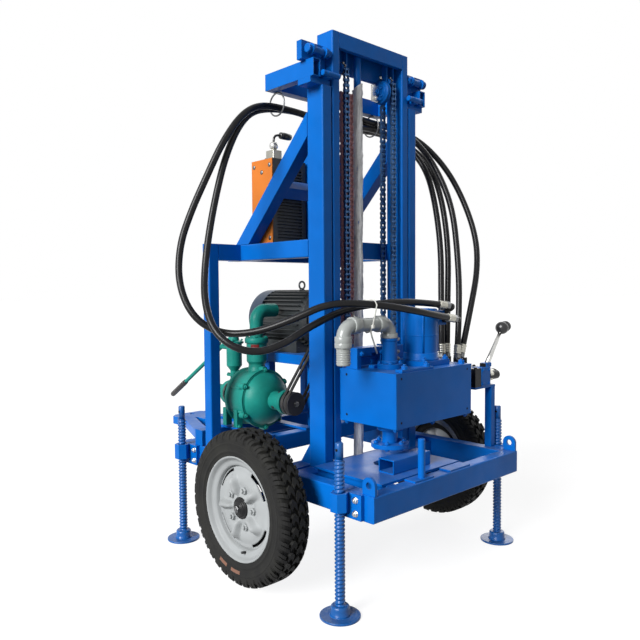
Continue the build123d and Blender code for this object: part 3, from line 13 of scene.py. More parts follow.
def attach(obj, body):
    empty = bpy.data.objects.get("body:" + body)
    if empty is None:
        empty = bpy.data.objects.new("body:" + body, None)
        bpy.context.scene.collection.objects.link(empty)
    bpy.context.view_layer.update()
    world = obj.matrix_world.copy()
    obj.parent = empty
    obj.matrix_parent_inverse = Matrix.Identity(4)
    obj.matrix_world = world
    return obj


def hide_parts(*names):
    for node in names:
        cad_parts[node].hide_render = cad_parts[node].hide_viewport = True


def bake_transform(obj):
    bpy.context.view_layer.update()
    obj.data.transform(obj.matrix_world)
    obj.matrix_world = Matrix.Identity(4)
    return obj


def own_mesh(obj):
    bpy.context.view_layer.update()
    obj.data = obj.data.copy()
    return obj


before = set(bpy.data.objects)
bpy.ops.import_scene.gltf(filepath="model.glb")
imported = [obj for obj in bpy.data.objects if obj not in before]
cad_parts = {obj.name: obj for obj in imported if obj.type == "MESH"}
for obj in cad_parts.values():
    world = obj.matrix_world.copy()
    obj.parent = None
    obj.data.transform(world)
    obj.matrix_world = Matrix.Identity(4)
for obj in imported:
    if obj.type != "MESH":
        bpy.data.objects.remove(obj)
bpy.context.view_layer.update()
scene = bpy.context.scene
MM = 1000  # millimetres in a metre

# The camera of the photograph, found from the rig's own corners: metres and degrees
CAMERA_PLACE = (-1.886, -2.1735, 1.0274)
CAMERA_AZIMUTH = -43.4096
CAMERA_DIP = 2.7623
CAMERA_ROLL = -0.4038
CAMERA_LENS = 37.2376
CAMERA_SENSOR = 36.0

# Light: the surroundings, the white that is only seen, the floor, and two wide suns
WHITE = (1, 1, 1)
SURROUND_LIGHT = 0.20
SEEN_WHITE = 1.0
FLOOR_HALF = 60.0
FLOOR_GREY = 0.24
FLOOR_GLOW = 0.86
# name, direction, spread in degrees, strength
SUNS = (
    ("left_light", (0.90, 0.07, -0.43), 30, 4.8),
    ("right_light", (-0.85, -0.30, -0.30), 60, 1.3),
)

RIGHT, LEFT = (1, 0, 0), (-1, 0, 0)
BACK, FRONT = (0, 1, 0), (0, -1, 0)
UP, DOWN = (0, 0, 1), (0, 0, -1)
SIDES = (("left", -1), ("right", 1))

# Routes of the hoses, with the points of the CAD tubes
HOSE_DIAMETER = 25
HOSES = {
    "hose_drive_outer": (
        (-271, -253, 1700), (-351, -253, 1700), (-440, -250, 1652), (-512, -230, 1545), (-562, -200, 1420),
        (-605, -165, 1300), (-645, -150, 1180), (-662, -165, 1045), (-645, -225, 930), (-580, -295, 872),
        (-515, -410, 878), (-440, -520, 925), (-350, -600, 980), (-200, -680, 970), (-90, -732, 950),
        (20, -746, 930), (110, -744, 917)),
    "hose_drive_inner": (
        (-271, -227, 1700), (-356, -227, 1689), (-430, -222, 1625), (-490, -214, 1500), (-530, -210, 1360),
        (-562, -210, 1225), (-590, -220, 1095), (-625, -270, 980), (-632, -330, 890), (-605, -395, 835),
        (-545, -450, 815), (-475, -498, 838), (-385, -540, 900), (-260, -580, 955), (-110, -630, 975),
        (30, -665, 975), (140, -683, 963)),
    "hose_valve_outer": (
        (325, -558, 790), (345, -540, 975), (385, -510, 1180), (415, -460, 1370), (440, -400, 1515),
        (440, -332, 1610), (395, -280, 1670), (310, -253, 1700), (190, -253, 1700), (70, -253, 1690),
        (-70, -250, 1690), (-181, -253, 1700), (-271, -253, 1700)),
    "hose_valve_inner": (
        (362, -558, 790), (390, -540, 975), (430, -515, 1185), (458, -465, 1385), (478, -400, 1525),
        (478, -318, 1625), (420, -252, 1680), (320, -225, 1700), (190, -226, 1694), (70, -225, 1691),
        (-70, -222, 1700), (-186, -227, 1711), (-271, -227, 1700)),
    "hose_tank_outer": (
        (325, -635, 790), (372, -612, 970), (410, -575, 1160), (425, -540, 1345), (435, -475, 1485),
        (428, -395, 1612), (372, -310, 1712), (252, -253, 1727), (150, -252, 1736), (65, -212, 1718),
        (20, -142, 1672), (20, -68, 1615)),
    "hose_tank_inner": (
        (362, -635, 790), (432, -626, 948), (520, -600, 1105), (565, -560, 1250), (565, -490, 1420),
        (522, -425, 1560), (460, -330, 1680), (365, -238, 1733), (218, -222, 1730), (151, -193, 1706),
        (112, -142, 1662), (112, -80, 1615)),
}
HOSE_LENGTHS = {
    "hose_drive_outer": 1.973, "hose_drive_inner": 1.902, "hose_valve_outer": 1.632,
    "hose_valve_inner": 1.689, "hose_tank_outer": 1.524, "hose_tank_inner": 1.527,
}
# The drive hoses run from the frame to the head
BENT_HOSES = ("hose_drive_outer", "hose_drive_inner")
# Where hoses end: place, which end of the route, and hoses
HOSE_ENDS = (
    ("valve", 0, ("hose_valve_outer", "hose_valve_inner", "hose_tank_outer", "hose_tank_inner")),
    ("tank", -1, ("hose_tank_outer", "hose_tank_inner")),
    ("drive", -1, BENT_HOSES),
)


def metres(point):
    return tuple(part / MM for part in point)


def clamp(value):
    return max(0.0, min(1.0, value))


def aim_camera():
    """Create the camera at the photograph's place, turned by azimuth, dip and roll."""
    azimuth, dip, roll = (math.radians(angle) for angle in (CAMERA_AZIMUTH, CAMERA_DIP, CAMERA_ROLL))
    turn = Matrix.Rotation(azimuth, 4, "Z") @ Matrix.Rotation(math.pi / 2 - dip, 4, "X") @ Matrix.Rotation(roll, 4, "Z")
    lens = bpy.data.cameras.new("photo_view")
    lens.sensor_width = CAMERA_SENSOR
    lens.lens = CAMERA_LENS
    camera = add_object("photo_view", lens)
    camera.matrix_world = Matrix.Translation(CAMERA_PLACE) @ turn
    scene.camera = camera


def add_object(name, data):
    made = bpy.data.objects.new(name, data)
    scene.collection.objects.link(made)
    return made


class Nodes:
    """A node tree being put together."""

    def __init__(self, tree):
        self.tree = tree

    def link(self, value, socket):
        """Link an output, or set a constant."""
        if isinstance(value, bpy.types.NodeSocket):
            self.tree.links.new(value, socket)
        elif hasattr(value, "__len__") and len(value) == 3 and len(socket.default_value) == 4:
            socket.default_value = (*value, 1.0)
        else:
            socket.default_value = value

    def node(self, kind, **values):
        """A new node: names in lower case are its settings, the others its inputs."""
        made = self.tree.nodes.new("ShaderNode" + kind)
        for name, value in values.items():
            if name.islower():
                setattr(made, name, value)
            else:
                self.link(value, made.inputs[name.replace("_", " ")])
        return made

    def pair(self, kind, operation, first, second):
        """A node that works on two values, or on two vectors."""
        made = self.node(kind, operation=operation)
        self.link(first, made.inputs[0])
        self.link(second, made.inputs[1])
        return made

    def seen_share(self):
        """1 for what the camera, a glossy face or a clear one sees directly, else 0."""
        rays = self.node("LightPath").outputs
        share = rays["Is Camera Ray"]
        for ray in ("Is Glossy Ray", "Is Transmission Ray"):
            share = self.pair("Math", "MAXIMUM", share, rays[ray]).outputs[0]
        return share


class Shade(Nodes):
    """A material being put together: each call adds a node and links what it is given."""

    def __init__(self, name, roughness=0.5, metallic=0.0):
        self.material = bpy.data.materials.new(name)
        self.material.use_nodes = True
        super().__init__(self.material.node_tree)
        self.surface = self.tree.nodes["Principled BSDF"]
        self.surface.inputs["Roughness"].default_value = roughness
        self.surface.inputs["Metallic"].default_value = metallic
        self.place = self.node("TexCoord").outputs["Object"]

    def stretched(self, scale):
        """The object's own coordinates, scaled along each axis."""
        return self.node("Mapping", Vector=self.place, Scale=scale).outputs["Vector"]

    def noise(self, scale, detail, place=None, distortion=0.0):
        made = self.node("TexNoise", Vector=place or self.place, Scale=scale, Detail=detail,
                         Roughness=0.6, Distortion=distortion)
        return made.outputs["Fac"]

    def range(self, value, low, high, to_low=0.0, to_high=1.0):
        """The value, stretched from low..high to to_low..to_high and kept there."""
        made = self.node("MapRange", Value=value, From_Min=low, From_Max=high, To_Min=to_low, To_Max=to_high)
        return made.outputs["Result"]

    def times(self, first, second):
        return self.pair("Math", "MULTIPLY", first, second).outputs[0]

    def mix(self, factor, first, second):
        """Two colours mixed by a factor."""
        return self.node("Mix", data_type="RGBA", Factor=factor, A=first, B=second).outputs["Result"]

    def facing_up(self):
        """1 on faces that look up, 0 on the sides."""
        normal = self.node("NewGeometry").outputs["Normal"]
        return self.range(self.node("SeparateXYZ", Vector=normal).outputs["Z"], 0.45, 0.95)

    def edges(self, width):
        """1 along sharp edges, 0 on flat ground, and the rounded normal."""
        rounded = self.node("Bevel", samples=4, Radius=width).outputs["Normal"]
        flat = self.node("NewGeometry").outputs["Normal"]
        agreement = self.pair("VectorMath", "DOT_PRODUCT", rounded, flat).outputs["Value"]
        return self.range(agreement, 0.995, 0.90), rounded

    def bump(self, height, distance, strength, normal=None):
        made = self.node("Bump", Strength=strength, Distance=distance, Height=height)
        if normal is not None:
            self.link(normal, made.inputs["Normal"])
        self.link(made.outputs["Normal"], self.surface.inputs["Normal"])

    def colour(self, value):
        self.link(value, self.surface.inputs["Base Color"])

    def finish(self, **sockets):
        for name, value in sockets.items():
            self.link(value, self.surface.inputs[name.replace("_", " ")])
        return self.material


def tint(colour, factor):
    return tuple(min(1.0, part * factor) for part in colour)


def paint(name, colour, roughness=0.34, edge_wear_and_highlight=0.35, dusty=(0.33, 0.34, 0.35), shine=0.12):
    """Sprayed enamel: slight patches, orange peel, dust on top faces, and lighter edges, partly worn thin paint and
    partly a painted highlight.
    """
    shade = Shade(name)
    patches = shade.range(shade.noise(3.1, 3), 0.35, 0.65)
    base = shade.mix(patches, tint(colour, 0.86), tint(colour, 1.12))
    rim, rounded = shade.edges(0.0022)
    # Lighter colour along the edges: partly worn paint, partly a painted highlight
    worn_and_lit_edges = shade.times(rim, shade.range(shade.noise(38, 5), 0.46, 0.6, 0, edge_wear_and_highlight))
    base = shade.mix(worn_and_lit_edges, base, tint(colour, 1.9))
    settled = shade.times(shade.facing_up(), shade.range(shade.noise(9, 6), 0.42, 0.72, 0.012, 0.24))
    shade.colour(shade.mix(settled, base, dusty))
    gloss = shade.range(shade.noise(14, 5), 0.3, 0.7, roughness - 0.06, roughness + 0.10)
    shade.bump(shade.noise(420, 2), 0.0006, 0.35, rounded)
    return shade.finish(Roughness=gloss, Specular_IOR_Level=shine)


def cast(name, colour, roughness=0.5, shine=0.17):
    """Painted casting: sandy bump under the paint, and lighter and darker patches at random."""
    shade = Shade(name)
    base = shade.mix(shade.range(shade.noise(11, 5), 0.35, 0.7), tint(colour, 0.78), tint(colour, 1.15))
    rim, rounded = shade.edges(0.003)
    # Lighter colour along the edges: partly worn paint, partly a painted highlight
    worn_and_lit_edges = shade.times(rim, shade.range(shade.noise(45, 5), 0.5, 0.62, 0, 0.5))
    shade.colour(shade.mix(worn_and_lit_edges, base, tint(colour, 1.8)))
    shade.bump(shade.noise(260, 3), 0.0009, 0.6, rounded)
    gloss = shade.range(shade.noise(20, 4), 0.3, 0.7, roughness - 0.08, roughness + 0.1)
    return shade.finish(Roughness=gloss, Specular_IOR_Level=shine)


def steel(name, colour, roughness=0.3, stain=(0.12, 0.10, 0.09), stained=0.25):
    """Bare metal: fine brushing, and stains in places."""
    shade = Shade(name, metallic=1.0)
    lines = shade.noise(8, 3, place=shade.stretched((60, 60, 60)))
    base = shade.mix(shade.range(lines, 0.3, 0.7), tint(colour, 0.82), tint(colour, 1.1))
    spots = shade.range(shade.noise(30, 6), 0.52, 0.7, 0, stained)
    shade.colour(shade.mix(spots, base, stain))
    shade.bump(lines, 0.0004, 0.3, shade.edges(0.001)[1])
    return shade.finish(Roughness=shade.range(spots, 0, 1, roughness, roughness + 0.3))


def rubber(name, colour, roughness=0.62, dust=(0.11, 0.105, 0.10), dusty=0.5):
    """Black rubber with a fine grain and grey dust rubbed into it."""
    shade = Shade(name)
    film = shade.range(shade.noise(13, 6), 0.4, 0.75, 0, dusty)
    shade.colour(shade.mix(film, colour, dust))
    shade.bump(shade.noise(350, 3), 0.0005, 0.5)
    gloss = shade.range(film, 0, 1, roughness, roughness + 0.2)
    return shade.finish(Roughness=gloss, Specular_IOR_Level=0.2)


def hose_cover():
    """Hose cover: fine grain, and dull scuffs that are lighter than the rest."""
    shade = Shade("hose_cover")
    scuff = shade.range(shade.noise(40, 5), 0.5, 0.75, 0, 0.5)
    shade.colour(shade.mix(scuff, (0.004, 0.004, 0.005), (0.016, 0.016, 0.017)))
    shade.bump(shade.noise(900, 2), 0.0003, 0.5)
    return shade.finish(Roughness=shade.range(scuff, 0, 1, 0.3, 0.5), Specular_IOR_Level=0.22)


def plastic(name, colour, roughness=0.4):
    """Moulded plastic: faint cloudiness, and dirt in thin streaks."""
    shade = Shade(name)
    base = shade.mix(shade.range(shade.noise(7, 3), 0.35, 0.65), tint(colour, 0.9), tint(colour, 1.06))
    streak = shade.range(shade.noise(16, 5, place=shade.stretched((3, 3, 0.6))), 0.55, 0.72, 0, 0.3)
    shade.colour(shade.mix(streak, base, tint(colour, 0.45)))
    shade.bump(shade.noise(240, 2), 0.0003, 0.4, shade.edges(0.0015)[1])
    return shade.finish(Roughness=roughness)


def foam_wrap():
    """Pale packing foam: soft folds with grey shadows."""
    shade = Shade("foam_wrap")
    folds = shade.noise(18, 6, place=shade.stretched((1.4, 1.4, 0.5)), distortion=0.8)
    shade.colour(shade.mix(shade.range(folds, 0.35, 0.7), (0.50, 0.505, 0.52), (0.90, 0.91, 0.92)))
    shade.bump(shade.noise(140, 5), 0.002, 0.7)
    return shade.finish(Roughness=0.55, Sheen_Weight=0.2)


# Each look: its material, and the record's slot that it stands for
LOOKS = {
    "rig": (paint("rig_enamel", (0.001, 0.120, 0.475)), "rig_paint"),
    "orange": (paint("orange_enamel", (0.56, 0.165, 0.028), roughness=0.4), "orange_paint"),
    "red": (paint("red_enamel", (0.16, 0.02, 0.02), roughness=0.4), None),
    "pump": (cast("pump_enamel", (0.010, 0.22, 0.18), roughness=0.42), "pump_paint"),
    "motor": (cast("motor_enamel", (0.020, 0.024, 0.026), roughness=0.36, shine=0.6), "motor_paint"),
    "cowl": (paint("cowl_enamel", (0.018, 0.034, 0.062), roughness=0.38, shine=0.4), "cowl_paint"),
    "iron": (cast("dark_iron", (0.045, 0.045, 0.05), roughness=0.4), "cast_metal"),
    "belt": (rubber("belt_rubber", (0.012, 0.012, 0.012), roughness=0.55), "belt_rubber"),
    "black": (cast("black_enamel", (0.014, 0.014, 0.015), roughness=0.38), "valve_black"),
    "fins": (cast("fin_enamel", (0.028, 0.033, 0.037), roughness=0.36, shine=0.5), None),
    "foam": (foam_wrap(), "foam_grey"),
    "chain": (steel("oiled_chain", (0.045, 0.10, 0.21), stain=(0.01, 0.015, 0.03), stained=0.5),
              "chain_steel"),
    "rust": (cast("brown_chain", (0.50, 0.24, 0.26)), "chain_steel"),
    # A darker copy of the rig's blue enamel, as painted shade in the thread, with its crest edges lightened strongly:
    # wear and a painted highlight
    "screw": (paint("shaded_lit_screw_enamel", (0.002, 0.090, 0.33), roughness=0.28, edge_wear_and_highlight=0.9, shine=0.4), "rig_paint"),
    "steel": (steel("bright_steel", (0.62, 0.62, 0.6), roughness=0.27), "bare_steel"),
    "zinc": (steel("zinc_plate", (0.44, 0.43, 0.38), roughness=0.36), "bare_steel"),
    "dark_steel": (steel("dark_steel", (0.17, 0.175, 0.18), roughness=0.36), "bare_steel"),
    "pvc": (plastic("grey_pvc", (0.33, 0.35, 0.34), roughness=0.26), "grey_plastic"),
    "tyre": (rubber("tyre_rubber", (0.009, 0.009, 0.009), roughness=0.7, dust=(0.034, 0.034, 0.029)), "tyre"),
    "label": (plastic("blank_label", (0.17, 0.075, 0.045)), None),
    "rim": (paint("silver_enamel", (0.325, 0.34, 0.345), roughness=0.36, edge_wear_and_highlight=0.2, dusty=(0.24, 0.23, 0.21)),
            "rim_silver"),
    "hose": (hose_cover(), "hose_rubber"),
    "tie": (plastic("white_nylon", (0.60, 0.60, 0.56), roughness=0.45), None),
    "knob": (plastic("black_plastic", (0.014, 0.014, 0.015), roughness=0.3), None),
    # Near-black painted shade, set in holes and behind slots where only shade shows
    "hollow": (rubber("painted_hollow_shade", (0.004, 0.004, 0.004), roughness=0.9, dusty=0.05), None),
}
NODE_LOOKS = {
    "orange": "cooler_plate", "pump": "pump pump_outlet suction_pipe priming_pump", "motor": "electric_motor",
    "cowl": "motor_cowl", "iron": "drive_pulleys", "belt": "drive_belts", "fins": "oil_cooler",
    "black": "control_valve", "foam": "lift_cylinder", "chain": "lift_chains chain_returns",
    "zinc": "motor_ports hose_ferrules", "dark_steel": "hanging_rings", "pvc": "water_pipe",
    "tyre": "tyre_left tyre_right", "rim": "wheel_left wheel_right", "hose": " ".join(HOSES),
}


def dress_nodes():
    """Give every CAD node its finish: blue enamel unless the table says otherwise."""
    look_of = {node: look for look, nodes in NODE_LOOKS.items() for node in nodes.split()}
    for name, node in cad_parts.items():
        node.data.materials.clear()
        node.data.materials.append(LOOKS[look_of.get(name, "rig")][0])


def keep(piece, look, body, *replaced):
    """Finish a piece: its material, the body it rides on and the nodes it stands for."""
    material, slot = LOOKS[look]
    piece.data.materials.clear()
    piece.data.materials.append(material)
    if replaced:
        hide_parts(*replaced)
    if body:
        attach(piece, body)
    return piece


def spline_of(points):
    """A NURBS line through the air with the route's points as its control points."""
    curve = bpy.data.curves.new("route", "CURVE")
    curve.dimensions = "3D"
    curve.resolution_u = 12
    line = curve.splines.new("NURBS")
    line.points.add(len(points) - 1)
    for control, point in zip(line.points, points):
        control.co = (*metres(point), 1.0)
    line.order_u = 3
    line.use_endpoint_u = True
    return curve


def line_points(curve):
    """The points of the smooth line itself, read from the curve with no bevel."""
    holder = add_object("reading", curve)
    mesh = bpy.data.meshes.new_from_object(holder)
    points = [tuple(vertex.co) for vertex in mesh.vertices]
    bpy.data.objects.remove(holder)
    return points


def hose_piece(name):
    """One hose and its path: a tube on its NURBS line. One that runs between bodies is a mesh."""
    curve = spline_of(HOSES[name])
    path = line_points(curve) if name in BENT_HOSES else None
    curve.bevel_depth = HOSE_DIAMETER / 2 / MM
    curve.bevel_resolution = 5
    curve.use_fill_caps = True
    cover = name.replace("hose", "cover")
    piece = add_object(cover, curve)
    if name in BENT_HOSES:
        mesh = bpy.data.meshes.new_from_object(piece)
        bpy.data.objects.remove(piece)
        piece = add_object(cover, mesh)
        for face in mesh.polygons:
            face.use_smooth = True
    return piece, path


def lay_hoses():
    for name, length in HOSE_LENGTHS.items():
        piece, path = hose_piece(name)
        if name in BENT_HOSES:
            keep(piece, "hose", None, name)
            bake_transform(piece)
        else:
            keep(piece, "hose", "frame", name)


def studio():
    """White surroundings, a pale floor, a wide sun from the left and a weaker one from the right."""
    scene.world = bpy.data.worlds.new("studio")
    scene.world.use_nodes = True
    world = Nodes(scene.world.node_tree)
    light = world.tree.nodes["Background"]
    world.link(WHITE, light.inputs["Color"])
    world.link(SURROUND_LIGHT, light.inputs["Strength"])
    seen = world.node("Background", Color=WHITE, Strength=SEEN_WHITE)
    mix = world.node("MixShader", Fac=world.seen_share())
    world.link(light.outputs[0], mix.inputs[1])
    world.link(seen.outputs[0], mix.inputs[2])
    world.link(mix.outputs[0], world.tree.nodes["World Output"].inputs["Surface"])
    scene.view_settings.view_transform = "Standard"
    add_floor()
    for name, towards, spread, strength in SUNS:
        lamp = bpy.data.lights.new(name, "SUN")
        lamp.angle = math.radians(spread)
        lamp.energy = strength
        add_object(name, lamp).rotation_euler = Vector(towards).to_track_quat("-Z", "Y").to_euler()


def add_floor():
    """The floor's own light makes it white, and the rig's shadow stays on it."""
    mesh = bpy.data.meshes.new("floor")
    corners = [(x * FLOOR_HALF, y * FLOOR_HALF, 0) for x, y in ((-1, -1), (1, -1), (1, 1), (-1, 1))]
    mesh.from_pydata(corners, [], [(0, 1, 2, 3)])
    shade = Shade("floor", roughness=1.0)
    glow = shade.times(shade.seen_share(), FLOOR_GLOW)
    mesh.materials.append(shade.finish(Base_Color=[FLOOR_GREY] * 3, Specular_IOR_Level=0.0,
                                       Emission_Color=WHITE, Emission_Strength=glow))
    add_object("floor", mesh)


PLANES = {"XY": (RIGHT, BACK), "XZ": (RIGHT, UP), "YZ": (BACK, UP)}


def spot(centre, radius, degrees, plane="XY"):
    """A point at an angle and a distance from a centre."""
    across, upright = (Vector(axis) for axis in PLANES[plane])
    angle = math.radians(degrees)
    return Vector(centre) + radius * (math.cos(angle) * across + math.sin(angle) * upright)


def circle(centre, radius, count, first=45, plane="XY"):
    """Points evenly round a centre, from a first angle in degrees."""
    return [spot(centre, radius, first + 360 * index / count, plane) for index in range(count)]


class Shape:
    """A mesh being put together from turned, flat and swept solids, in millimetres."""

    def __init__(self):
        self.mesh = bmesh.new()

    def ring(self, centre, across, upright, radii):
        """Vertices round a centre, in the plane of two unit vectors, each at its own radius."""
        made = []
        for index, radius in enumerate(radii):
            angle = 2 * math.pi * index / len(radii)
            outward = math.cos(angle) * across + math.sin(angle) * upright
            made.append(self.mesh.verts.new(centre + radius * outward))
        return made

    def join(self, lower, upper, smooth=True):
        """Faces between two rings."""
        for index in range(len(lower)):
            following = (index + 1) % len(lower)
            face = self.mesh.faces.new((lower[index], lower[following], upper[following], upper[index]))
            face.smooth = smooth

    def loft(self, rings, smooth=True):
        """A skin over a row of rings, closed at both ends."""
        for lower, upper in zip(rings, rings[1:]):
            self.join(lower, upper, smooth)
        self.mesh.faces.new(list(reversed(rings[0])))
        self.mesh.faces.new(rings[-1])

    def turned(self, start, axis, profile, sides=32, smooth=True):
        """A solid turned about an axis: profile rows are distance along the axis and radius."""
        axis = Vector(axis).normalized()
        across = axis.orthogonal().normalized()
        upright = axis.cross(across)
        start = Vector(start)
        self.loft([self.ring(start + along * axis, across, upright, [radius] * sides) for along, radius in profile],
                  smooth)

    def rod(self, start, end, radius, sides, edge=0.0):
        """A round bar between two points, with its end edges eased."""
        start, end = Vector(start), Vector(end)
        length = (end - start).length
        profile = [(0, radius), (length, radius)]
        if edge:
            profile = [(0, radius - edge), (edge, radius), (length - edge, radius), (length, radius - edge)]
        self.turned(start, end - start, profile, sides)

    def bolts(self, places, axis, across, height, tail=0.0, washer=0.0):
        """Hexagon nuts, each on its washer and with the threaded tail of its bolt standing out."""
        along = Vector(axis).normalized()
        corner = across / math.sqrt(3)
        ease = corner * 0.12
        washer_radius, tail_radius = across * 0.66, across * 0.28
        for place in places:
            point = Vector(place)
            if washer:
                self.turned(point, axis, [(0, washer_radius), (washer, washer_radius)], 24, smooth=False)
                point = point + washer * along
            rows = [(0, corner), (height - ease, corner), (height, corner - ease * 1.2)]
            self.turned(point, axis, rows, 6, smooth=False)
            if tail:
                rows = [(0, tail_radius), (tail - 1, tail_radius), (tail, tail_radius - 1)]
                self.turned(point + height * along, axis, rows, 16)

    def box(self, low, high, ease):
        """A block, with its edges eased where ease isn't 0."""
        made = bmesh.ops.create_cube(self.mesh, size=1.0)["verts"]
        size = [b - a for a, b in zip(low, high)]
        middle = [(a + b) / 2 for a, b in zip(low, high)]
        bmesh.ops.scale(self.mesh, vec=size, verts=made)
        bmesh.ops.translate(self.mesh, vec=middle, verts=made)
        if ease:
            edges = list({edge for vertex in made for edge in vertex.link_edges})
            bmesh.ops.bevel(self.mesh, geom=edges, offset=ease, segments=2, affect="EDGES", profile=0.5)

    def plate(self, outline, thickness, origin):
        """A flat plate: an outline in the YZ plane, given thickness along X."""
        lower = [self.mesh.verts.new(Vector(origin) + Vector((0, y, z))) for y, z in outline]
        upper = [self.mesh.verts.new(vertex.co + Vector((thickness, 0, 0))) for vertex in lower]
        self.loft([lower, upper], smooth=False)

    def swept(self, points, radii, sides=16):
        """A tube along points, with one radius or a radius at each."""
        points = [Vector(point) for point in points]
        if isinstance(radii, (int, float)):
            radii = [radii] * len(points)
        across = None
        rings = []
        for index, point in enumerate(points):
            before = points[max(index - 1, 0)]
            after = points[min(index + 1, len(points) - 1)]
            along = (after - before).normalized()
            if across is None:
                across = along.orthogonal().normalized()
            across = (across - across.dot(along) * along).normalized()
            rings.append(self.ring(point, across, along.cross(across), [radii[index]] * sides))
        self.loft(rings)

    def thread(self, start, end, core, crest, pitch, sides=20, steps=6):
        """A screw thread with flat crests and roots, turned round a core."""
        start, end = Vector(start), Vector(end)
        axis = (end - start).normalized()
        across = axis.orthogonal().normalized()
        upright = axis.cross(across)
        length = (end - start).length
        rows = int(length / pitch * steps)
        rings = []
        for row in range(rows + 1):
            along = length * row / rows
            phases = [(along / pitch - index / sides) % 1.0 for index in range(sides)]
            radii = [core + (crest - core) * clamp(1.9 - abs(phase - 0.5) * 5.2) for phase in phases]
            rings.append(self.ring(start + along * axis, across, upright, radii))
        self.loft(rings)

    def piece(self, name, look, body, *replaced):
        """The finished object in metres, on its body."""
        bmesh.ops.scale(self.mesh, vec=[1 / MM] * 3, verts=self.mesh.verts)
        bmesh.ops.recalc_face_normals(self.mesh, faces=self.mesh.faces)
        data = bpy.data.meshes.new(name)
        self.mesh.to_mesh(data)
        self.mesh.free()
        return keep(add_object(name, data), look, body, *replaced)


# Roller chains: strands in front of the mast, and those that run down behind them to its seat
CHAIN_X, CHAIN_Y, CHAIN_LOW, CHAIN_HIGH = 131, -466, 802, 1828
RETURN_Y, RETURN_LOW, RETURN_HIGH = -412, 373, 1822
WIDE_X, WIDE_Y, WIDE_LOW, WIDE_HIGH, WIDE_HALF = -114, -449.5, 815, 1745, 32
CHAIN_PITCH = 19.05
CHAIN_DEPTH = 15
CHAIN_HALF = 12.5  # half a pin
PLATE = 2.5
PLATE_STEP = 4.3  # from a pin's end to the inner plate
ROLLER, PIN = 5.8, 3.2


def waisted_plate(shape, x, y, centre, pitch):
    """A figure-eight chain plate standing in the YZ plane."""
    outline = []
    radius = CHAIN_DEPTH * 0.48
    for top in (1, -1):
        for step in range(7):
            _, across, rise = spot((0, 0, 0), radius, -30 + 40 * step + (0 if top > 0 else 180), "YZ")
            outline.append((across, top * pitch / 2 + rise))
        outline.append((-top * radius * 0.66, 0))
    shape.plate(outline, PLATE, (x, y, centre))


def chain_strand(x, y, low, high, half=CHAIN_HALF):
    """Links of one strand: inner and outer plates by turns, with rollers and riveted pins."""
    shape = Shape()
    count = int((high - low) / CHAIN_PITCH)
    pitch = (high - low - CHAIN_DEPTH) / count
    first = low + CHAIN_DEPTH / 2
    for index in range(count):
        reach = half - 1.5 if index % 2 else half - PLATE_STEP
        for start in (x - reach, x + reach - PLATE):
            waisted_plate(shape, start, y, first + pitch * (index + 0.5), pitch)
    inner = half - PLATE_STEP - PLATE
    for index in range(count + 1):
        z = first + pitch * index
        shape.rod((x - inner, y, z), (x + inner, y, z), ROLLER, 12)
        shape.rod((x - half, y, z), (x + half, y, z), PIN, 8, 0.6)
    return shape


def chains():
    """Chains in front of the mast that ride on it, the strands behind it that stay in place, and the wide brown strand
    beside the left one.
    """
    for name, side in SIDES:
        x = side * CHAIN_X
        strand = chain_strand(x, CHAIN_Y, CHAIN_LOW, CHAIN_HIGH)
        piece = strand.piece(f"chain_{name}", "chain", "inner_mast", "lift_chains")
        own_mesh(piece)
        strand = chain_strand(x, RETURN_Y, RETURN_LOW, RETURN_HIGH)
        piece = strand.piece(f"chain_return_{name}", "chain", None, "chain_returns")
        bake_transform(piece)
    strand = chain_strand(WIDE_X, WIDE_Y, WIDE_LOW, WIDE_HIGH, WIDE_HALF)
    reach = WIDE_HALF - 3
    strand.box((WIDE_X - reach, WIDE_Y - 1, WIDE_LOW + 5), (WIDE_X + reach, WIDE_Y + 1, WIDE_HIGH - 5), 0)
    piece = strand.piece("chain_wide", "rust", "inner_mast")
    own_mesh(piece)


def jack_screws():
    """Screw with its foot plate and thread, and a dark rod painted as the shade of its cross-drilled hole."""
    for (end, y), (side, x) in product((("front", -740), ("rear", 170)), (("left", -452), ("right", 452))):
        body = f"jack_{end}_{side}"
        shape = Shape()
        shape.turned((x, y, 0), UP, ((0, 64.5), (0.5, 65), (6, 65), (7, 64.2)), 48)
        shape.turned((x, y, 6.5), UP, ((0, 34), (4, 30.5), (20, 29.8), (27.5, 29.6), (31.5, 26)), 40)
        shape.thread((x, y, 36), (x, y, 497), 13.4, 16.9, 12.5)
        shape.turned((x, y, 496), UP, ((0, 12.9), (51, 12.9), (54, 10.5)), 24)
        shape.piece(f"jack_thread_{end}_{side}", "screw", body, f"jack_screw_{end}_{side}")
        # A dark rod through the screw's end: painted shade of its cross-drilled hole
        hole = Shape()
        hole.turned((x - 13.1, y, 527.5), RIGHT, ((0, 4.6), (0.4, 5), (25.8, 5), (26.2, 4.6)), 20)
        hole.piece(f"jack_hole_{end}_{side}", "hollow", body)


# Tyres: a smooth carcass with its bead, bands and rows of tread blocks. Rows are distance out, and radius
WHEEL_X, WHEEL_Y, WHEEL_Z = 531, -376, 283
TREAD_PITCHES = 38
TREAD_DEPTH = 11
CARCASS = (
    (32, 168), (46.5, 173.5), (50.5, 179.5), (51.5, 186), (52.8, 192.5), (53.6, 193), (53.6, 197.5), (53, 198),
    (54.1, 206), (54.9, 214), (55.4, 220.5), (55.9, 221), (55.9, 225), (55.4, 225.5), (55.4, 229), (55.8, 229.5),
    (55.7, 232), (54.5, 234.5), (53.5, 241), (50.8, 247), (45, 250.5), (34, 252.2), (16, 253), (0, 253.2),
)
SHOULDER = ((30, 264.5), (38, 263.8), (45, 261.2), (50.5, 255.5), (54, 247), (55.6, 237.5))
MIDDLE = ((2, 264.9), (8, 264.9), (15, 264.8), (21, 264.7), (26.5, 264.5))
WALL_RIB = ((55.8, 233), (55.2, 240), (53.5, 245))


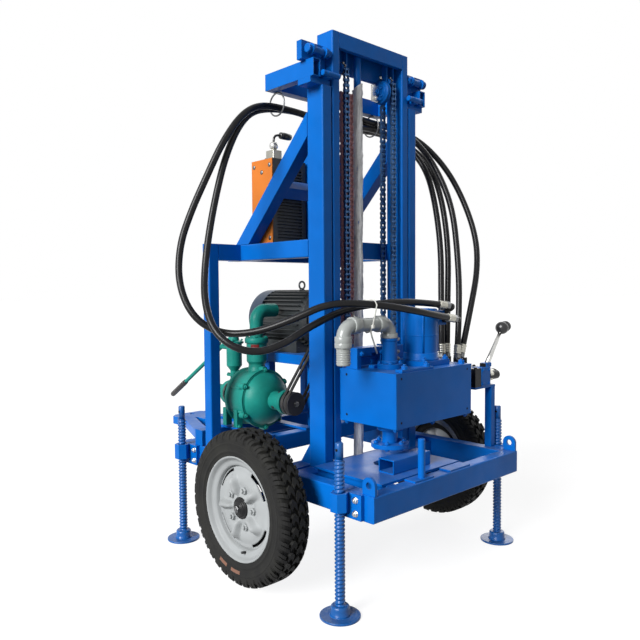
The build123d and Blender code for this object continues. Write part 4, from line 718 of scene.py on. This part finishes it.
def wheel_point(side, out, radius, angle):
    """A point of a wheel: out from its middle plane, and round from its front towards the top."""
    return Vector((side * (WHEEL_X + out), WHEEL_Y - radius * math.cos(angle), WHEEL_Z + radius * math.sin(angle)))


def turned_loop(shape, side, outline, sides=96):
    """A closed outline turned round a wheel's axle."""
    angles = [2 * math.pi * index / sides for index in range(sides)]
    rings = [[shape.mesh.verts.new(wheel_point(side, out, radius, angle)) for angle in angles]
             for out, radius in outline]
    for lower, upper in zip(rings, rings[1:] + rings[:1]):
        shape.join(lower, upper)


def tread_block(shape, side, rows, depth, start, width, shift):
    """A block along the tread, slanted by shift(out), with tapered walls."""
    sections = []
    inset = 0.06 * width
    for out, radius in rows:
        corners = ((radius - depth, start), (radius, start + inset), (radius, start + width - inset),
                   (radius - depth, start + width))
        sections.append([shape.mesh.verts.new(wheel_point(side, out, reach, angle + shift(abs(out))))
                         for reach, angle in corners])
    for near, far in zip(sections, sections[1:]):
        for index in range(3):
            shape.mesh.faces.new((near[index], near[index + 1], far[index + 1], far[index]))
    shape.mesh.faces.new(sections[0])
    shape.mesh.faces.new(list(reversed(sections[-1])))


def tyres():
    """Carcass, two shoulder blocks and a middle block on each hand of a pitch, and ribs on the walls."""
    pitch = 2 * math.pi / TREAD_PITCHES

    def slant(out):
        return 0.30 * pitch * (out - 30) / 26

    def kink(out):
        return pitch * (0.42 - abs(out - 14) * 0.03)

    for name, side in SIDES:
        shape = Shape()
        turned_loop(shape, side, list(CARCASS) + [(-out, radius) for out, radius in reversed(CARCASS[:-1])])
        for index, hand in product(range(TREAD_PITCHES), (1, -1)):
            angle = pitch * index
            turn = angle + (0.5 * pitch if hand < 0 else 0)
            shoulder, middle, wall = ([(hand * out, radius) for out, radius in rows]
                                      for rows in (SHOULDER, MIDDLE, WALL_RIB))
            tread_block(shape, side, shoulder, TREAD_DEPTH, turn, 0.34 * pitch, slant)
            tread_block(shape, side, shoulder[1:], TREAD_DEPTH, turn + 0.38 * pitch, 0.32 * pitch, slant)
            tread_block(shape, side, middle, TREAD_DEPTH, turn, 0.60 * pitch, kink)
            for rib in range(5):
                tread_block(shape, side, wall, 1.5, angle + rib * pitch / 5, 0.09 * pitch, lambda out: 0)
        shape.piece(f"tread_{name}", "tyre", f"wheel_{name}", f"tyre_{name}")
        labels = Shape()
        for middle, wide in ((-91, 50), (-110, 42)):
            tyre_label(labels, side, math.radians(middle), wide)
        labels.piece(f"tyre_label_{name}", "label", f"wheel_{name}")


def curved_plate(shape, point_at, middle, span, steps):
    """A plate bent round an axis: point_at(corner, angle) gives the four corners of its section."""
    angles = [middle + (step / steps - 0.5) * span for step in range(steps + 1)]
    rows = [[shape.mesh.verts.new(point_at(corner, angle)) for angle in angles] for corner in range(4)]
    for near, far in zip(rows, rows[1:] + rows[:1]):
        for step in range(steps):
            shape.mesh.faces.new((near[step], near[step + 1], far[step + 1], far[step]))
    for end in (0, steps):
        shape.mesh.faces.new([row[end] for row in rows])


def tyre_label(shape, side, middle, wide):
    """A blank curved patch moulded on the sidewall."""
    corners = ((54.5, 207), (56, 218.5), (54, 218.5), (52.5, 207))
    curved_plate(shape, lambda corner, angle: wheel_point(side, *corners[corner], angle), middle, wide / 212.7, 8)


# Wheels: pressed disc with raised ribs and curved slots inside a stepped rim
RIM_LOOP = (
    (50, 179), (51.5, 177.5), (51.7, 174.5), (50, 172.5), (47, 170), (40, 165.5), (36.2, 163.2), (34.5, 156),
    (32, 147.8), (28.5, 143.5), (-30, 143), (-36, 163.5), (-50, 168), (-50.5, 178.5), (-46, 173), (-32, 168.2),
    (-28, 146.2), (28, 146.2), (32, 168.2), (45.5, 173.5),
)
# A dark ring behind the disc's slots, as painted shade seen through them
SLOT_SHADE_LOOP = ((5, 108), (5, 142.5), (3, 142.5), (3, 108))
# radius, distance out
DISC_ROWS = (
    (30, 25.5), (37, 26), (44, 26.2), (51, 26.2), (58, 26.2), (65, 26.6), (72, 27.5), (79, 29.2), (85, 31), (91, 32),
    (97, 31.5), (103, 29.4), (109, 26.2), (115, 22.5), (121, 19.5), (126.5, 18.6), (131, 18.7), (135.5, 17.5),
    (140, 12), (143.2, 12),
)
HUB_ROWS = (
    (0, 34.5), (46, 34.5), (56, 37.2), (62.5, 37.2), (65.5, 35), (66.2, 31), (64.5, 30), (64.5, 26.2), (72, 25.5),
    (73.5, 22.5), (73.5, 19), (76.5, 18.5), (77.2, 16.5),
)
DISC_TURNS = 180
RIB_TURNS = (111, 39, -33, -105, 183)
NUT_TURNS = (75, 3, -69, -141, 147)
NUT_CIRCLE = 65


def rib_rise(radius, angle):
    """How far a rib of the pressed disc stands above its plain dish."""
    along = clamp((radius - 42) / 16) * clamp((118 - radius) / 22)
    across = 0.0
    for turn in RIB_TURNS:
        offset = abs((angle - math.radians(turn) + math.pi) % (2 * math.pi) - math.pi)
        across = max(across, 0.5 + 0.5 * math.cos(min(1.0, offset / 0.24) * math.pi))
    return 19 * along * across ** 1.3 - 6 * along * (1 - across)


def in_slot(radius, angle):
    """Whether a face of the disc lies in one of its four slots; the one at the front top is wider."""
    degrees = math.degrees(angle)
    turn = (degrees - 45) % 90
    inner = 121 if 0 < degrees < 90 else 126.5
    return inner < radius < 135.5 and min(turn, 90 - turn) < 23.5


def wheel_disc(name, side):
    """The disc as a net of rows and turns with its slots left open, then made thick."""
    shape = Shape()
    step = 2 * math.pi / DISC_TURNS
    rows = [[shape.mesh.verts.new(wheel_point(side, out + rib_rise(radius, step * index), radius, step * index))
             for index in range(DISC_TURNS)] for radius, out in DISC_ROWS]
    for inner, outer, (low, _), (high, _) in zip(rows, rows[1:], DISC_ROWS, DISC_ROWS[1:]):
        for index in range(DISC_TURNS):
            if not in_slot((low + high) / 2, step * (index + 0.5)):
                following = (index + 1) % DISC_TURNS
                face = shape.mesh.faces.new((inner[index], inner[following], outer[following], outer[index]))
                face.smooth = True
    piece = shape.piece(f"wheel_disc_{name}", "rim", f"wheel_{name}", f"wheel_{name}")
    thick = piece.modifiers.new("sheet", "SOLIDIFY")
    thick.thickness = 4 / MM
    thick.offset = -side


def wheels():
    for name, side in SIDES:
        body = f"wheel_{name}"
        axis = (side, 0, 0)
        wheel_disc(name, side)
        rim, slot_shade, nuts, hub, tip, valve = (Shape() for _ in range(6))
        turned_loop(rim, side, RIM_LOOP)
        rim.piece(f"wheel_rim_{name}", "rim", body, body)
        # The dark ring behind the slots is painted shade
        turned_loop(slot_shade, side, SLOT_SHADE_LOOP)
        slot_shade.piece(f"wheel_slot_shade_{name}", "hollow", body)
        places = [wheel_point(side, 20.5, NUT_CIRCLE, math.radians(turn)) for turn in NUT_TURNS]
        nuts.bolts(places, axis, 23, 12.5, 7, 2.5)
        nuts.piece(f"wheel_nuts_{name}", "rim", body, body)
        hub.turned(wheel_point(side, -30, 0, 0), axis, HUB_ROWS, 48)
        hub.piece(f"hub_cap_{name}", "black", body, body)
        tip.bolts([wheel_point(side, 46.8, 0, 0)], axis, 22, 6)
        tip.rod(wheel_point(side, 52, 0, 0), wheel_point(side, 55.2, 0, 0), 6.8, 20, 1)
        tip.piece(f"hub_nut_{name}", "dark_steel", body, body)
        stem = [wheel_point(side, out, radius, math.radians(-81))
                for out, radius in ((30, 150), (38, 147), (47, 145.5))]
        valve.swept(stem, (6.2, 4.5, 4.2), 12)
        valve.piece(f"valve_stem_{name}", "knob", body)


def foam_sleeve():
    """Packing foam wound round the lift cylinder: soft folds and the edges of its turns."""
    x, y, low, high = -45, -440, 374, 1793
    rows, sides = 190, 40
    shape = Shape()

    def fold(size, angle, z, rate, shift=0):
        return noise.noise(Vector((size * math.cos(angle) + shift, size * math.sin(angle), z / MM * rate)))

    rings = []
    for row in range(rows + 1):
        level = low + (high - low) * row / rows
        ring = []
        for index in range(sides):
            angle = 2 * math.pi * index / sides
            z = level - 14 * (1 - math.cos(angle + 0.76)) * max(0.0, 1 - (high - level) / 60)
            wind = (z / 110 - angle / (2 * math.pi)) % 1.0
            radius = 19 + 1.6 * max(0.0, 1 - wind * 6) + 2.5 * max(0.0, 1 - (high - z) / 150)
            radius += 3.6 * fold(1.7, angle, z, 13) - 5 * abs(fold(2.6, angle, z, 34, 7)) + 0.7 * fold(9, angle, z, 70)
            ring.append(shape.mesh.verts.new((x + radius * math.cos(angle), y + radius * math.sin(angle), z)))
        rings.append(ring)
    shape.loft(rings)
    shape.piece("foam_sleeve", "foam", "frame", "lift_cylinder")


def hose_end(name, index):
    """Where a hose ends, and the direction from there into its fitting."""
    route = HOSES[name]
    end = Vector(route[index])
    return end, (end - Vector(route[1 if index == 0 else -2])).normalized()


def ferrules():
    """Crimped sleeves on the hoses with the swivel nut behind each."""
    rows = [(-6, 13.8), (-4.5, 14.9), (2, 14.9)]
    for start in (3, 12.5, 22):
        rows += [(start, 14), (start + 3.5, 14), (start + 4.5, 14.9), (start + 8.5, 14.9)]
    rows += [(31.5, 12), (34.5, 11.2), (36, 11.2)]
    for place, index, hoses in HOSE_ENDS:
        body, node = ("head", "motor_ports") if place == "drive" else ("frame", "hose_ferrules")
        for letter, hose in zip("abcd", hoses):
            end, run = hose_end(hose, index)
            sleeve, nut = Shape(), Shape()
            sleeve.turned(end, run, rows, 28)
            sleeve.piece(f"ferrule_{place}_{letter}", "zinc", body, node)
            nut.bolts([end + run * 33.5], run, 26.2, 16.5)
            nut.turned(end + run * 49.5, run, ((0, 10), (6, 10)), 20)
            nut.piece(f"swivel_nut_{place}_{letter}", "dark_steel", body)


def motor_block():
    """The drive motor's port block, and the bent tubes from it to the two hose fittings."""
    block = Shape()
    block.box((122.5, -674.2, 885), (195, -626, 940.2), 3)
    block.bolts(product((194.5,), (-667, -633), (892, 933)), RIGHT, 8, 5, 1)
    block.piece("motor_port_block", "rig", "head", "motor_ports")
    tubes = Shape()
    for hose, back in zip(BENT_HOSES, ((178, -660, 906), (190, -660, 925))):
        end, run = hose_end(hose, -1)
        tip, back = end + run * 66, Vector(back)
        away = (back - tip).normalized()
        path = [end + run * 52, end + run * 59, tip]
        for step in range(1, 6):
            path.append(tip + run * 8 * math.sin(step / 6 * math.pi) + away * 22 * step / 6)
        tubes.swept(path + [tip + away * 24, back], 10.5, 24)
        tubes.bolts([back - away * 28], away, 23.5, 12)
        tubes.turned(back - away * 15, away, ((0, 12.8), (4, 13.2), (6, 12)), 24)
    tubes.piece("motor_port_elbows", "black", "head", "motor_ports")


def valve_fittings():
    """Adapters that stand on the control valve, its plugs, cap, screws and the lever with its knob."""
    for index, (y, x) in enumerate(product((-558, -635), (325, 362))):
        shape = Shape()
        shape.turned((x, y, 711), UP, ((0, 16.5), (3, 16.8), (4, 15.5)), 28)
        shape.bolts([(x, y, 715)], UP, 30, 11.5)
        shape.turned((x, y, 726.5), UP, ((0, 12), (4, 12)), 24)
        shape.bolts([(x, y, 729)], UP, 28.5, 10.5)
        shape.piece(f"valve_adapter_{index}", "black", "frame")
    trim, block, spool, lever, ball = (Shape() for _ in range(5))
    trim.bolts(product((297, 373), (-737, -680, -596, -530), (711.8,)), UP, 11, 5.5)
    for y in (-715, -655, -595, -545):
        trim.turned((285.5, y, 676), LEFT, ((0, 12.5), (2.5, 12.5), (3, 11)), 24)
        trim.bolts([(282.8, y, 676)], LEFT, 16, 6)
    trim.turned((443, -722, 678), RIGHT, ((0, 20.5), (4, 21.2), (10, 20.5), (12.5, 15)), 32)
    trim.piece("valve_trim", "black", "frame")
    block.box((325, -746.8, 638.5), (390, -700, 714), 3)
    block.box((362, -744, 712.5), (400, -716, 729), 2)
    block.bolts(product((336, 379), (-746.2,), (650, 702)), FRONT, 10, 3.5)
    block.piece("valve_lever_block", "rig", "frame")
    spool.bolts([(389.5, -722, 678)], RIGHT, 50, 24)
    spool.turned((413, -722, 678), RIGHT, ((0, 19), (2, 19.5), (29, 19.5), (31, 18.5)), 32)
    spool.piece("valve_spool_end", "zinc", "frame")
    foot, knob = Vector((382, -730, 716)), Vector((498, -730, 862))
    run = (knob - foot).normalized()
    lever.swept([foot, foot + run * 50, foot + run * 90, knob], (10.5, 10, 8.6, 7.8), 20)
    lever.bolts([knob - run * 30], run, 15, 6)
    lever.piece("valve_lever", "steel", "frame")
    lobe = ((0, 10.5), (3, 13.5), (7, 19), (13, 23.6), (21, 26.2), (29, 26), (37, 23.2), (43, 18), (47, 10.5), (48.5, 4))
    for place, share in ((knob - run * 26, 1.0), (knob - run * 18 + Vector((24, 0, 2)), 0.86)):
        ball.turned(place, run, [(along * share, radius * share) for along, radius in lobe], 36)
    ball.piece("valve_knob", "knob", "frame")


SPINDLE = (-107, -650)
MOTOR = (70, -650)


def head_details():
    """Bolts, plates and plugs on the gear case and its motor, and dark discs painted as the shade of the case's holes.
    """
    bolts, plates, holes = Shape(), Shape(), Shape()
    bolts.bolts(product((7, 133), (-713, -587), (761.8,)), UP, 19, 8.5, 6, 2)
    bolts.bolts(((-30, -752, 751.5), (-150, -752, 751.5)), UP, 21, 9, 6, 2)
    bolts.bolts([(190, -745, 741.8)], UP, 21, 12, 4, 2)
    bolts.bolts(((-190, -530, 741.8), (190, -530, 741.8)), UP, 19, 9, 5, 2)
    bolts.bolts(circle((*SPINDLE, 759.8), 36, 4), UP, 13, 6, 3)
    bolts.bolts(circle((*SPINDLE, 480.2), 52, 6, 30), UP, 16, 7.5, 4)
    bolts.bolts(circle((*SPINDLE, 465.2), 52, 6, 30), DOWN, 16, 7)
    bolts.bolts(((-185, -586, 795), (-80, -586, 795)), FRONT, 15, 7, 4, 1.5)
    under = [(x, y, 556.2) for x, y in ((-200, -755), (200, -755), (200, -530), (-200, -530), (0, -755))]
    bolts.bolts(under, DOWN, 17, 8, 4, 1.5)
    bolts.piece("head_bolts", "rig", "head")
    plates.box((-180, -766, 741.8), (-6, -736, 751.6), 1.5)
    plates.box((-150, -615, 741.8), (-20, -588, 753), 1.5)
    plates.turned((*MOTOR, 761.8), UP, ((0, 66.5), (4, 66.8), (6.5, 64), (24, 63.2), (27, 61.2)), 64)
    plates.turned((*MOTOR, 946), UP, ((0, 60), (3, 56), (4, 30), (4.5, 29.8)), 64)
    plates.turned((*MOTOR, 850), UP, ((0, 61.2), (0.5, 61.7), (4, 61.7), (4.5, 61.2)), 64)
    for foot in circle((*MOTOR, 790), 61.5, 4):
        plates.swept([foot, foot + Vector((0, 0, 145))], 4.2, 10)
    plates.piece("head_plates", "rig", "head")
    # Dark discs on the case's faces: painted shade of its holes
    for x, z in product((-190, 190), (724, 576)):
        holes.turned((x, -772.2, z), BACK, ((0, 4.2), (0.4, 4)), 16, smooth=False)
    for side, z in product((-1, 1), (722, 580)):
        holes.turned((side * 218.2, -545, z), (-side, 0, 0), ((0, 4.6), (0.4, 4.4)), 16, smooth=False)
    holes.piece("head_holes", "hollow", "head")


def swivel_details():
    """The two bands of the water swivel, and the plugs on its side."""
    shape, plugs = Shape(), Shape()
    shape.turned((*SPINDLE, 759.5), UP, ((0, 28.5), (3, 29), (10, 29), (12, 27.2)), 48)
    shape.turned((*SPINDLE, 839), UP, ((0, 27.2), (2, 28.5), (9, 28.5), (11, 27.2)), 48)
    shape.piece("swivel_gland", "rig", "head")
    for z in (845, 800, 775):
        axis = (1, -0.15, 0)
        plugs.bolts([(-81, -655, z)], axis, 16.5, 9)
        plugs.turned((-72, -656.3, z), axis, ((0, 5.8), (7, 5.8), (8, 4.5)), 16)
    plugs.piece("swivel_plugs", "dark_steel", "head")


def water_pipe():
    """The plastic pipe: moulded sockets at its bends, and the ribbed hose tail."""
    shape = Shape()
    near, far, y, bend, top = -107, -340, -650, 40, 902
    steps = [90 * step / 8 for step in range(9)]
    path = [(near, y, 851), (near, y, 862)]
    path += [spot((near - bend, y, top - bend), bend, turn, "XZ") for turn in steps]
    path += [spot((far + bend, y, top - bend), bend, 90 + turn, "XZ") for turn in steps]
    shape.swept(path + [(far, y, 842)], 23.64, 36)
    for start, axis, length in (
        ((near, y, 850), UP, 17.5), ((near - bend + 4, y, top), LEFT, 34),
        ((far + bend - 4, y, top), RIGHT, 34), ((far, y, 846), UP, 22),
    ):
        shape.turned(start, axis, ((0, 28.2), (1.5, 29), (length - 2, 29), (length, 27.6)), 40)
    rows = [(50, 17.8), (0.8, 17.8), (0.6, 22.2)]
    for rib in range(7):
        base = 2 + rib * 7.8
        rows += [(base, 22.6), (base + 5.5, 24.3), (base + 6.2, 24.3), (base + 7.2, 22.4)]
    rows += [(57.5, 24.5), (58.5, 28.4), (60, 29), (77, 29), (79, 27)]
    shape.turned((far, y, 771.2), UP, rows, 40)
    shape.piece("water_pipe_fittings", "pvc", "head", "water_pipe")


def crown_details():
    """The drum beside the right sprocket, sprocket teeth and the crown's bolts."""
    drum, teeth, studs = Shape(), Shape(), Shape()
    centre = (86, -430, 1788)
    drum.turned(centre, RIGHT, ((0, 30), (1, 32.5), (5, 33), (6, 42), (8, 44), (11, 44), (13, 39.5), (17, 39.5),
                                (19, 44), (24, 44), (26.5, 41)), 56)
    drum.bolts([centre], LEFT, 24, 10, 6, 2)
    drum.bolts(circle(centre, 21, 4, plane="YZ"), LEFT, 11, 5)
    drum.piece("crown_drum", "rig", "inner_mast")
    outline = []
    for tooth, (turn, radius) in product(range(9), ((-0.30, 21.5), (-0.12, 26.2), (0.12, 26.2), (0.30, 21.5))):
        outline.append(spot((0, 0, 0), radius, 360 * (tooth + turn) / 9, "YZ")[1:])
    for x in (-CHAIN_X, CHAIN_X):
        teeth.plate(outline, 7, (x - 3.5, -439, 1828))
    teeth.piece("sprocket_teeth", "dark_steel", "inner_mast")
    studs.bolts([(62, -430, 1762)], FRONT, 13, 7, 4, 1.5)
    studs.box((50, -430, 1750), (86, -422, 1812), 1.5)
    studs.bolts(product((-150, -112, 112, 150), (-415.5,), (1852,)), FRONT, 13, 6)
    studs.piece("crown_studs", "steel", "inner_mast")


def guide_details():
    """Washers, nuts and grooves of the guide bolts and rollers at the column tops."""
    shape = Shape()
    y, z, roller = -465, 1853, 61.5
    for side in (-1, 1):
        axis = (side, 0, 0)
        shape.bolts([(side * 220, y, z)], axis, 30, 11)
        shape.turned((side * 231, y, z), axis, ((0, 17.5), (2.5, 17.8), (3, 15)), 32)
        shape.bolts([(side * 308, y, z)], (-side, 0, 0), 30, 11)
        shape.turned((side * 318.5, y, z), axis, ((0, 16), (3, 16), (4.5, 12)), 32)
        ends = ((0, 6), (0.8, 8.8), (6, 9.2), (7, 8.5))
        rows = (*ends, *((roller - along, radius) for along, radius in reversed(ends)))
        shape.turned((min(side * 195.5, side * 257), -493, 1774), RIGHT, rows, 28)
    shape.piece("guide_nuts", "rig", "frame")


def drive_details():
    """Electric motor: eyebolt, end shield, terminal box and foot bolts, with the pulleys' bolts."""
    eye, ends, box, feet = (Shape() for _ in range(4))
    x, z = 50, 895
    eye.swept([spot((x, -14, 1040), 16, 15 * step, "XZ") for step in range(25)], 4.2, 12)
    eye.turned((x, -14, 1018.5), UP, ((0, 11.5), (4, 11.5), (6, 8.5), (9, 6)), 24)
    eye.piece("motor_eyebolt", "dark_steel", "frame")
    ends.turned((x, -149, z), FRONT, ((0, 90), (4, 86), (10, 56), (14, 48), (22, 44), (24, 25)), 56)
    ends.bolts(circle((x, -149.5, z), 94, 4, plane="XZ"), FRONT, 13, 6, 3)
    ends.bolts(circle((x, -163.5, z), 36, 4, plane="XZ"), FRONT, 9, 5)
    ends.piece("motor_end_shield", "motor", "frame")
    box.box((160, -75, 890), (205, 55, 985), 4)
    box.box((203, -80, 885), (212, 60, 990), 3)
    box.bolts(product((211.5,), (-70, 50), (895, 980)), RIGHT, 8, 4)
    box.bolts([(184, -10, 890.5)], DOWN, 26, 12)
    box.piece("motor_terminal_box", "motor", "frame")
    feet.bolts(product((-45, 145), (-85, 5), (777.5,)), UP, 17, 8, 6, 2)
    feet.bolts(((x, -241.8, z), (PUMP_X, -241.8, PUMP_Z)), FRONT, 17, 6, 0, 2)
    feet.piece("drive_bolts", "dark_steel", "frame")


PUMP_X, PUMP_Z = -190, 575
OUTLET = (-186, 10)
PRIMER = (-170, 190)


def pump_at(y):
    return PUMP_X, y, PUMP_Z


def pump_details():
    """Bolts round the pump's flanges, its seals, ribs and blank plate, and dark discs painted as the shade of its
    holes.
    """
    bolts, dark, ribs = Shape(), Shape(), Shape()
    bolts.bolts(circle(pump_at(-50), 118, 6, 30, "XZ"), FRONT, 15.5, 7.5, 5, 1.5)
    bolts.bolts(circle(pump_at(69), 106, 8, 11.25, "XZ"), BACK, 13, 6, 3)
    bolts.bolts(product((-296.5, -83.5), (-13, 11), (465.5,)), UP, 13, 6, 4, 1)
    bolts.piece("pump_bolts", "pump", "frame")
    # Two dark discs: painted shade of the pump's holes
    for y, turn in ((-150, 100), (-135, 215)):
        out = spot((0, 0, 0), 1, turn, "XZ")
        dark.turned(Vector(pump_at(y)) + out * 37.2, out, ((0, 7.2), (2.2, 7.2), (2.4, 5)), 20)
    dark.turned(pump_at(170), BACK, ((0, 52.6), (3, 53.2), (6, 53.2), (9, 52.6)), 48)
    dark.piece("pump_seals_and_hole_shades", "knob", "frame")
    ribs.turned(pump_at(-185), BACK, ((0, 47.2), (2, 48.6), (7, 48.6), (9, 47.2)), 48)
    ribs.turned(pump_at(-50), BACK, ((-1, 111.5), (0, 114), (1, 115)), 64)
    for turn in (25, 95, 155, 205, 335):
        start = spot(pump_at(-34), 113, turn, "XZ")
        ribs.swept([start, start + Vector((0, 78, 0))], 5.5, 10)
    ribs.turned((*OUTLET, 801), UP, ((0, 47), (2, 49), (20, 49), (22, 47)), 48)
    ribs.bolts(circle((*OUTLET, 823.5), 38.5, 4), UP, 13, 6)
    ribs.piece("pump_ribs", "pump", "frame")
    pump_plate()


def pump_plate():
    """A small blank plate bent round the pump's outlet, with its two rivets."""
    radius, low, high, facing, wide = 42.8, 778, 797, 222, 34
    corners = ((radius - 1, low), (radius - 1, high), (radius + 1.2, high), (radius + 1.2, low))
    shape = Shape()

    def corner_at(corner, angle):
        reach, z = corners[corner]
        return spot((*OUTLET, z), reach, math.degrees(angle))

    curved_plate(shape, corner_at, math.radians(facing), wide / radius, 10)
    for shift in (-0.42, 0.42):
        turn = facing + math.degrees(shift * wide / radius)
        place = spot((*OUTLET, (low + high) / 2), radius + 1, turn)
        shape.turned(place, spot((0, 0, 0), 1, turn), ((0, 1.8), (0.6, 1.7), (1, 0.8)), 12)
    shape.piece("pump_plate", "red", "frame")


def primer_details():
    """The priming pump's lever grip, its joints, flange bolts and drain."""
    grip, joint = Shape(), Shape()
    top, tip = Vector((*PRIMER, 826)), Vector((-170, 710, 505))
    run = (tip - top).normalized()
    end = tip + run * 2
    grip.swept([end - run * 150, end - run * 146, end - run * 4, end], (10.5, 12.2, 12.5, 10.5), 24)
    for step in range(9):
        grip.turned(end - run * (135 - 14.5 * step), run, ((0, 12), (1, 13), (4, 13), (5, 12)), 24)
    grip.piece("lever_grip", "knob", "frame")
    joint.box((-176, 170, 802), (-164, 200, 838), 3)
    for x, axis in ((-186, LEFT), (-154, RIGHT)):
        joint.bolts([(x, 190, 826)], axis, 15, 7, 4)
    joint.bolts(circle((*PRIMER, 800.5), 34, 4), UP, 10, 5, 3)
    joint.bolts(circle((*PRIMER, 654.8), 26, 4), UP, 10, 5)
    joint.turned((-170, 316, 778), UP, ((0, 16.5), (4, 17.5), (7, 16.5)), 28)
    joint.swept([(-184, 316, 700), (-190, 322, 690), (-192, 324, 664)], (7, 7.5, 8.5), 14)
    joint.piece("primer_joints", "pump", "frame")


def cooler_details():
    """Port block with its ball joint, thin line and black cylinder, plate screws and the tank's cap."""
    block, ball, line, screws, cap = (Shape() for _ in range(5))
    x, y = -167, -93
    block.box((-189, -117, 1545.2), (-145, -69, 1579.2), 2.5)
    block.bolts([(x, y, 1578)], UP, 23, 8)
    block.piece("cooler_port", "zinc", "frame")
    ball.turned((x, y, 1585), UP, ((0, 8), (2, 12.5), (6, 16), (11, 17.8), (17, 18), (23, 16), (28, 12), (31, 7)), 32)
    ball.piece("cooler_ball", "steel", "frame")
    route = ((-167, 1612), (-167, 1622), (-165, 1632), (-158, 1641), (-146, 1645), (-134, 1646))
    line.swept([(along, y, z) for along, z in route], 4.8, 14)
    line.turned((-136, y, 1646), RIGHT, ((0, 8.5), (4, 13), (10, 14), (12, 12), (15, 12), (17, 14), (48, 14),
                                         (50, 12.5), (56, 12.5), (58, 8.5)), 32)
    line.piece("cooler_line", "knob", "frame")
    for place in (*product((-199.8,), (-104, -6), (1520, 1230)), (-199.8, -55, 1495)):
        screws.turned(place, LEFT, ((0, 8.5), (1.2, 8.6), (3, 7), (4.2, 4)), 24)
    screws.bolts(((-182, -60, 1545), (-52, -95, 1545)), UP, 10, 5, 3, 1)
    screws.piece("cooler_screws", "dark_steel", "frame")
    cap.turned((164, -50, 1618), UP, ((0, 26.2), (1, 28.5), (16, 29), (19, 26.5), (20, 12)), 40)
    for foot in circle((164, -50, 1619.5), 28.5, 12, 0):
        cap.swept([foot, foot + Vector((0, 0, 13.5))], 2.2, 8)
    cap.piece("tank_cap", "knob", "frame")


def side_bolts():
    """Bright bolts that hold the jack brackets to the side rails."""
    bolts = Shape()
    for side in (-1, 1):
        bolts.bolts(product((side * 428.8,), (-787, 114), (374, 332)), (side, 0, 0), 16.5, 7, 4, 2)
    bolts.piece("side_bolts", "steel", "frame")


def hose_tie():
    """A cable tie round the water pipe and the drive hoses, with its lock and tail."""
    tie = Shape()
    x = -226
    loop = ((-650, 874.5), (-668, 880), (-678.5, 902), (-690, 945), (-696, 970), (-686, 986.5), (-640, 985),
            (-592, 973), (-576, 955), (-595, 925), (-624, 890), (-650, 874.5))
    tie.swept([(x, y, z) for y, z in loop], 2.6, 10)
    tie.box((x - 5, -684, 890), (x + 5, -673, 902), 1.5)
    tail = ((0, -668, 880), (10, -664, 862), (28, -660, 832), (46, -656, 800))
    tie.swept([(x + along, y, z) for along, y, z in tail], 3, 10)
    tie.piece("hose_tie", "tie", "head")


for build in (
    aim_camera, dress_nodes, lay_hoses, chains, jack_screws, tyres, wheels, foam_sleeve, ferrules, motor_block,
    valve_fittings, head_details, swivel_details, water_pipe, crown_details, guide_details, drive_details,
    pump_details, primer_details, cooler_details, side_bolts, hose_tie, studio,
):
    build()
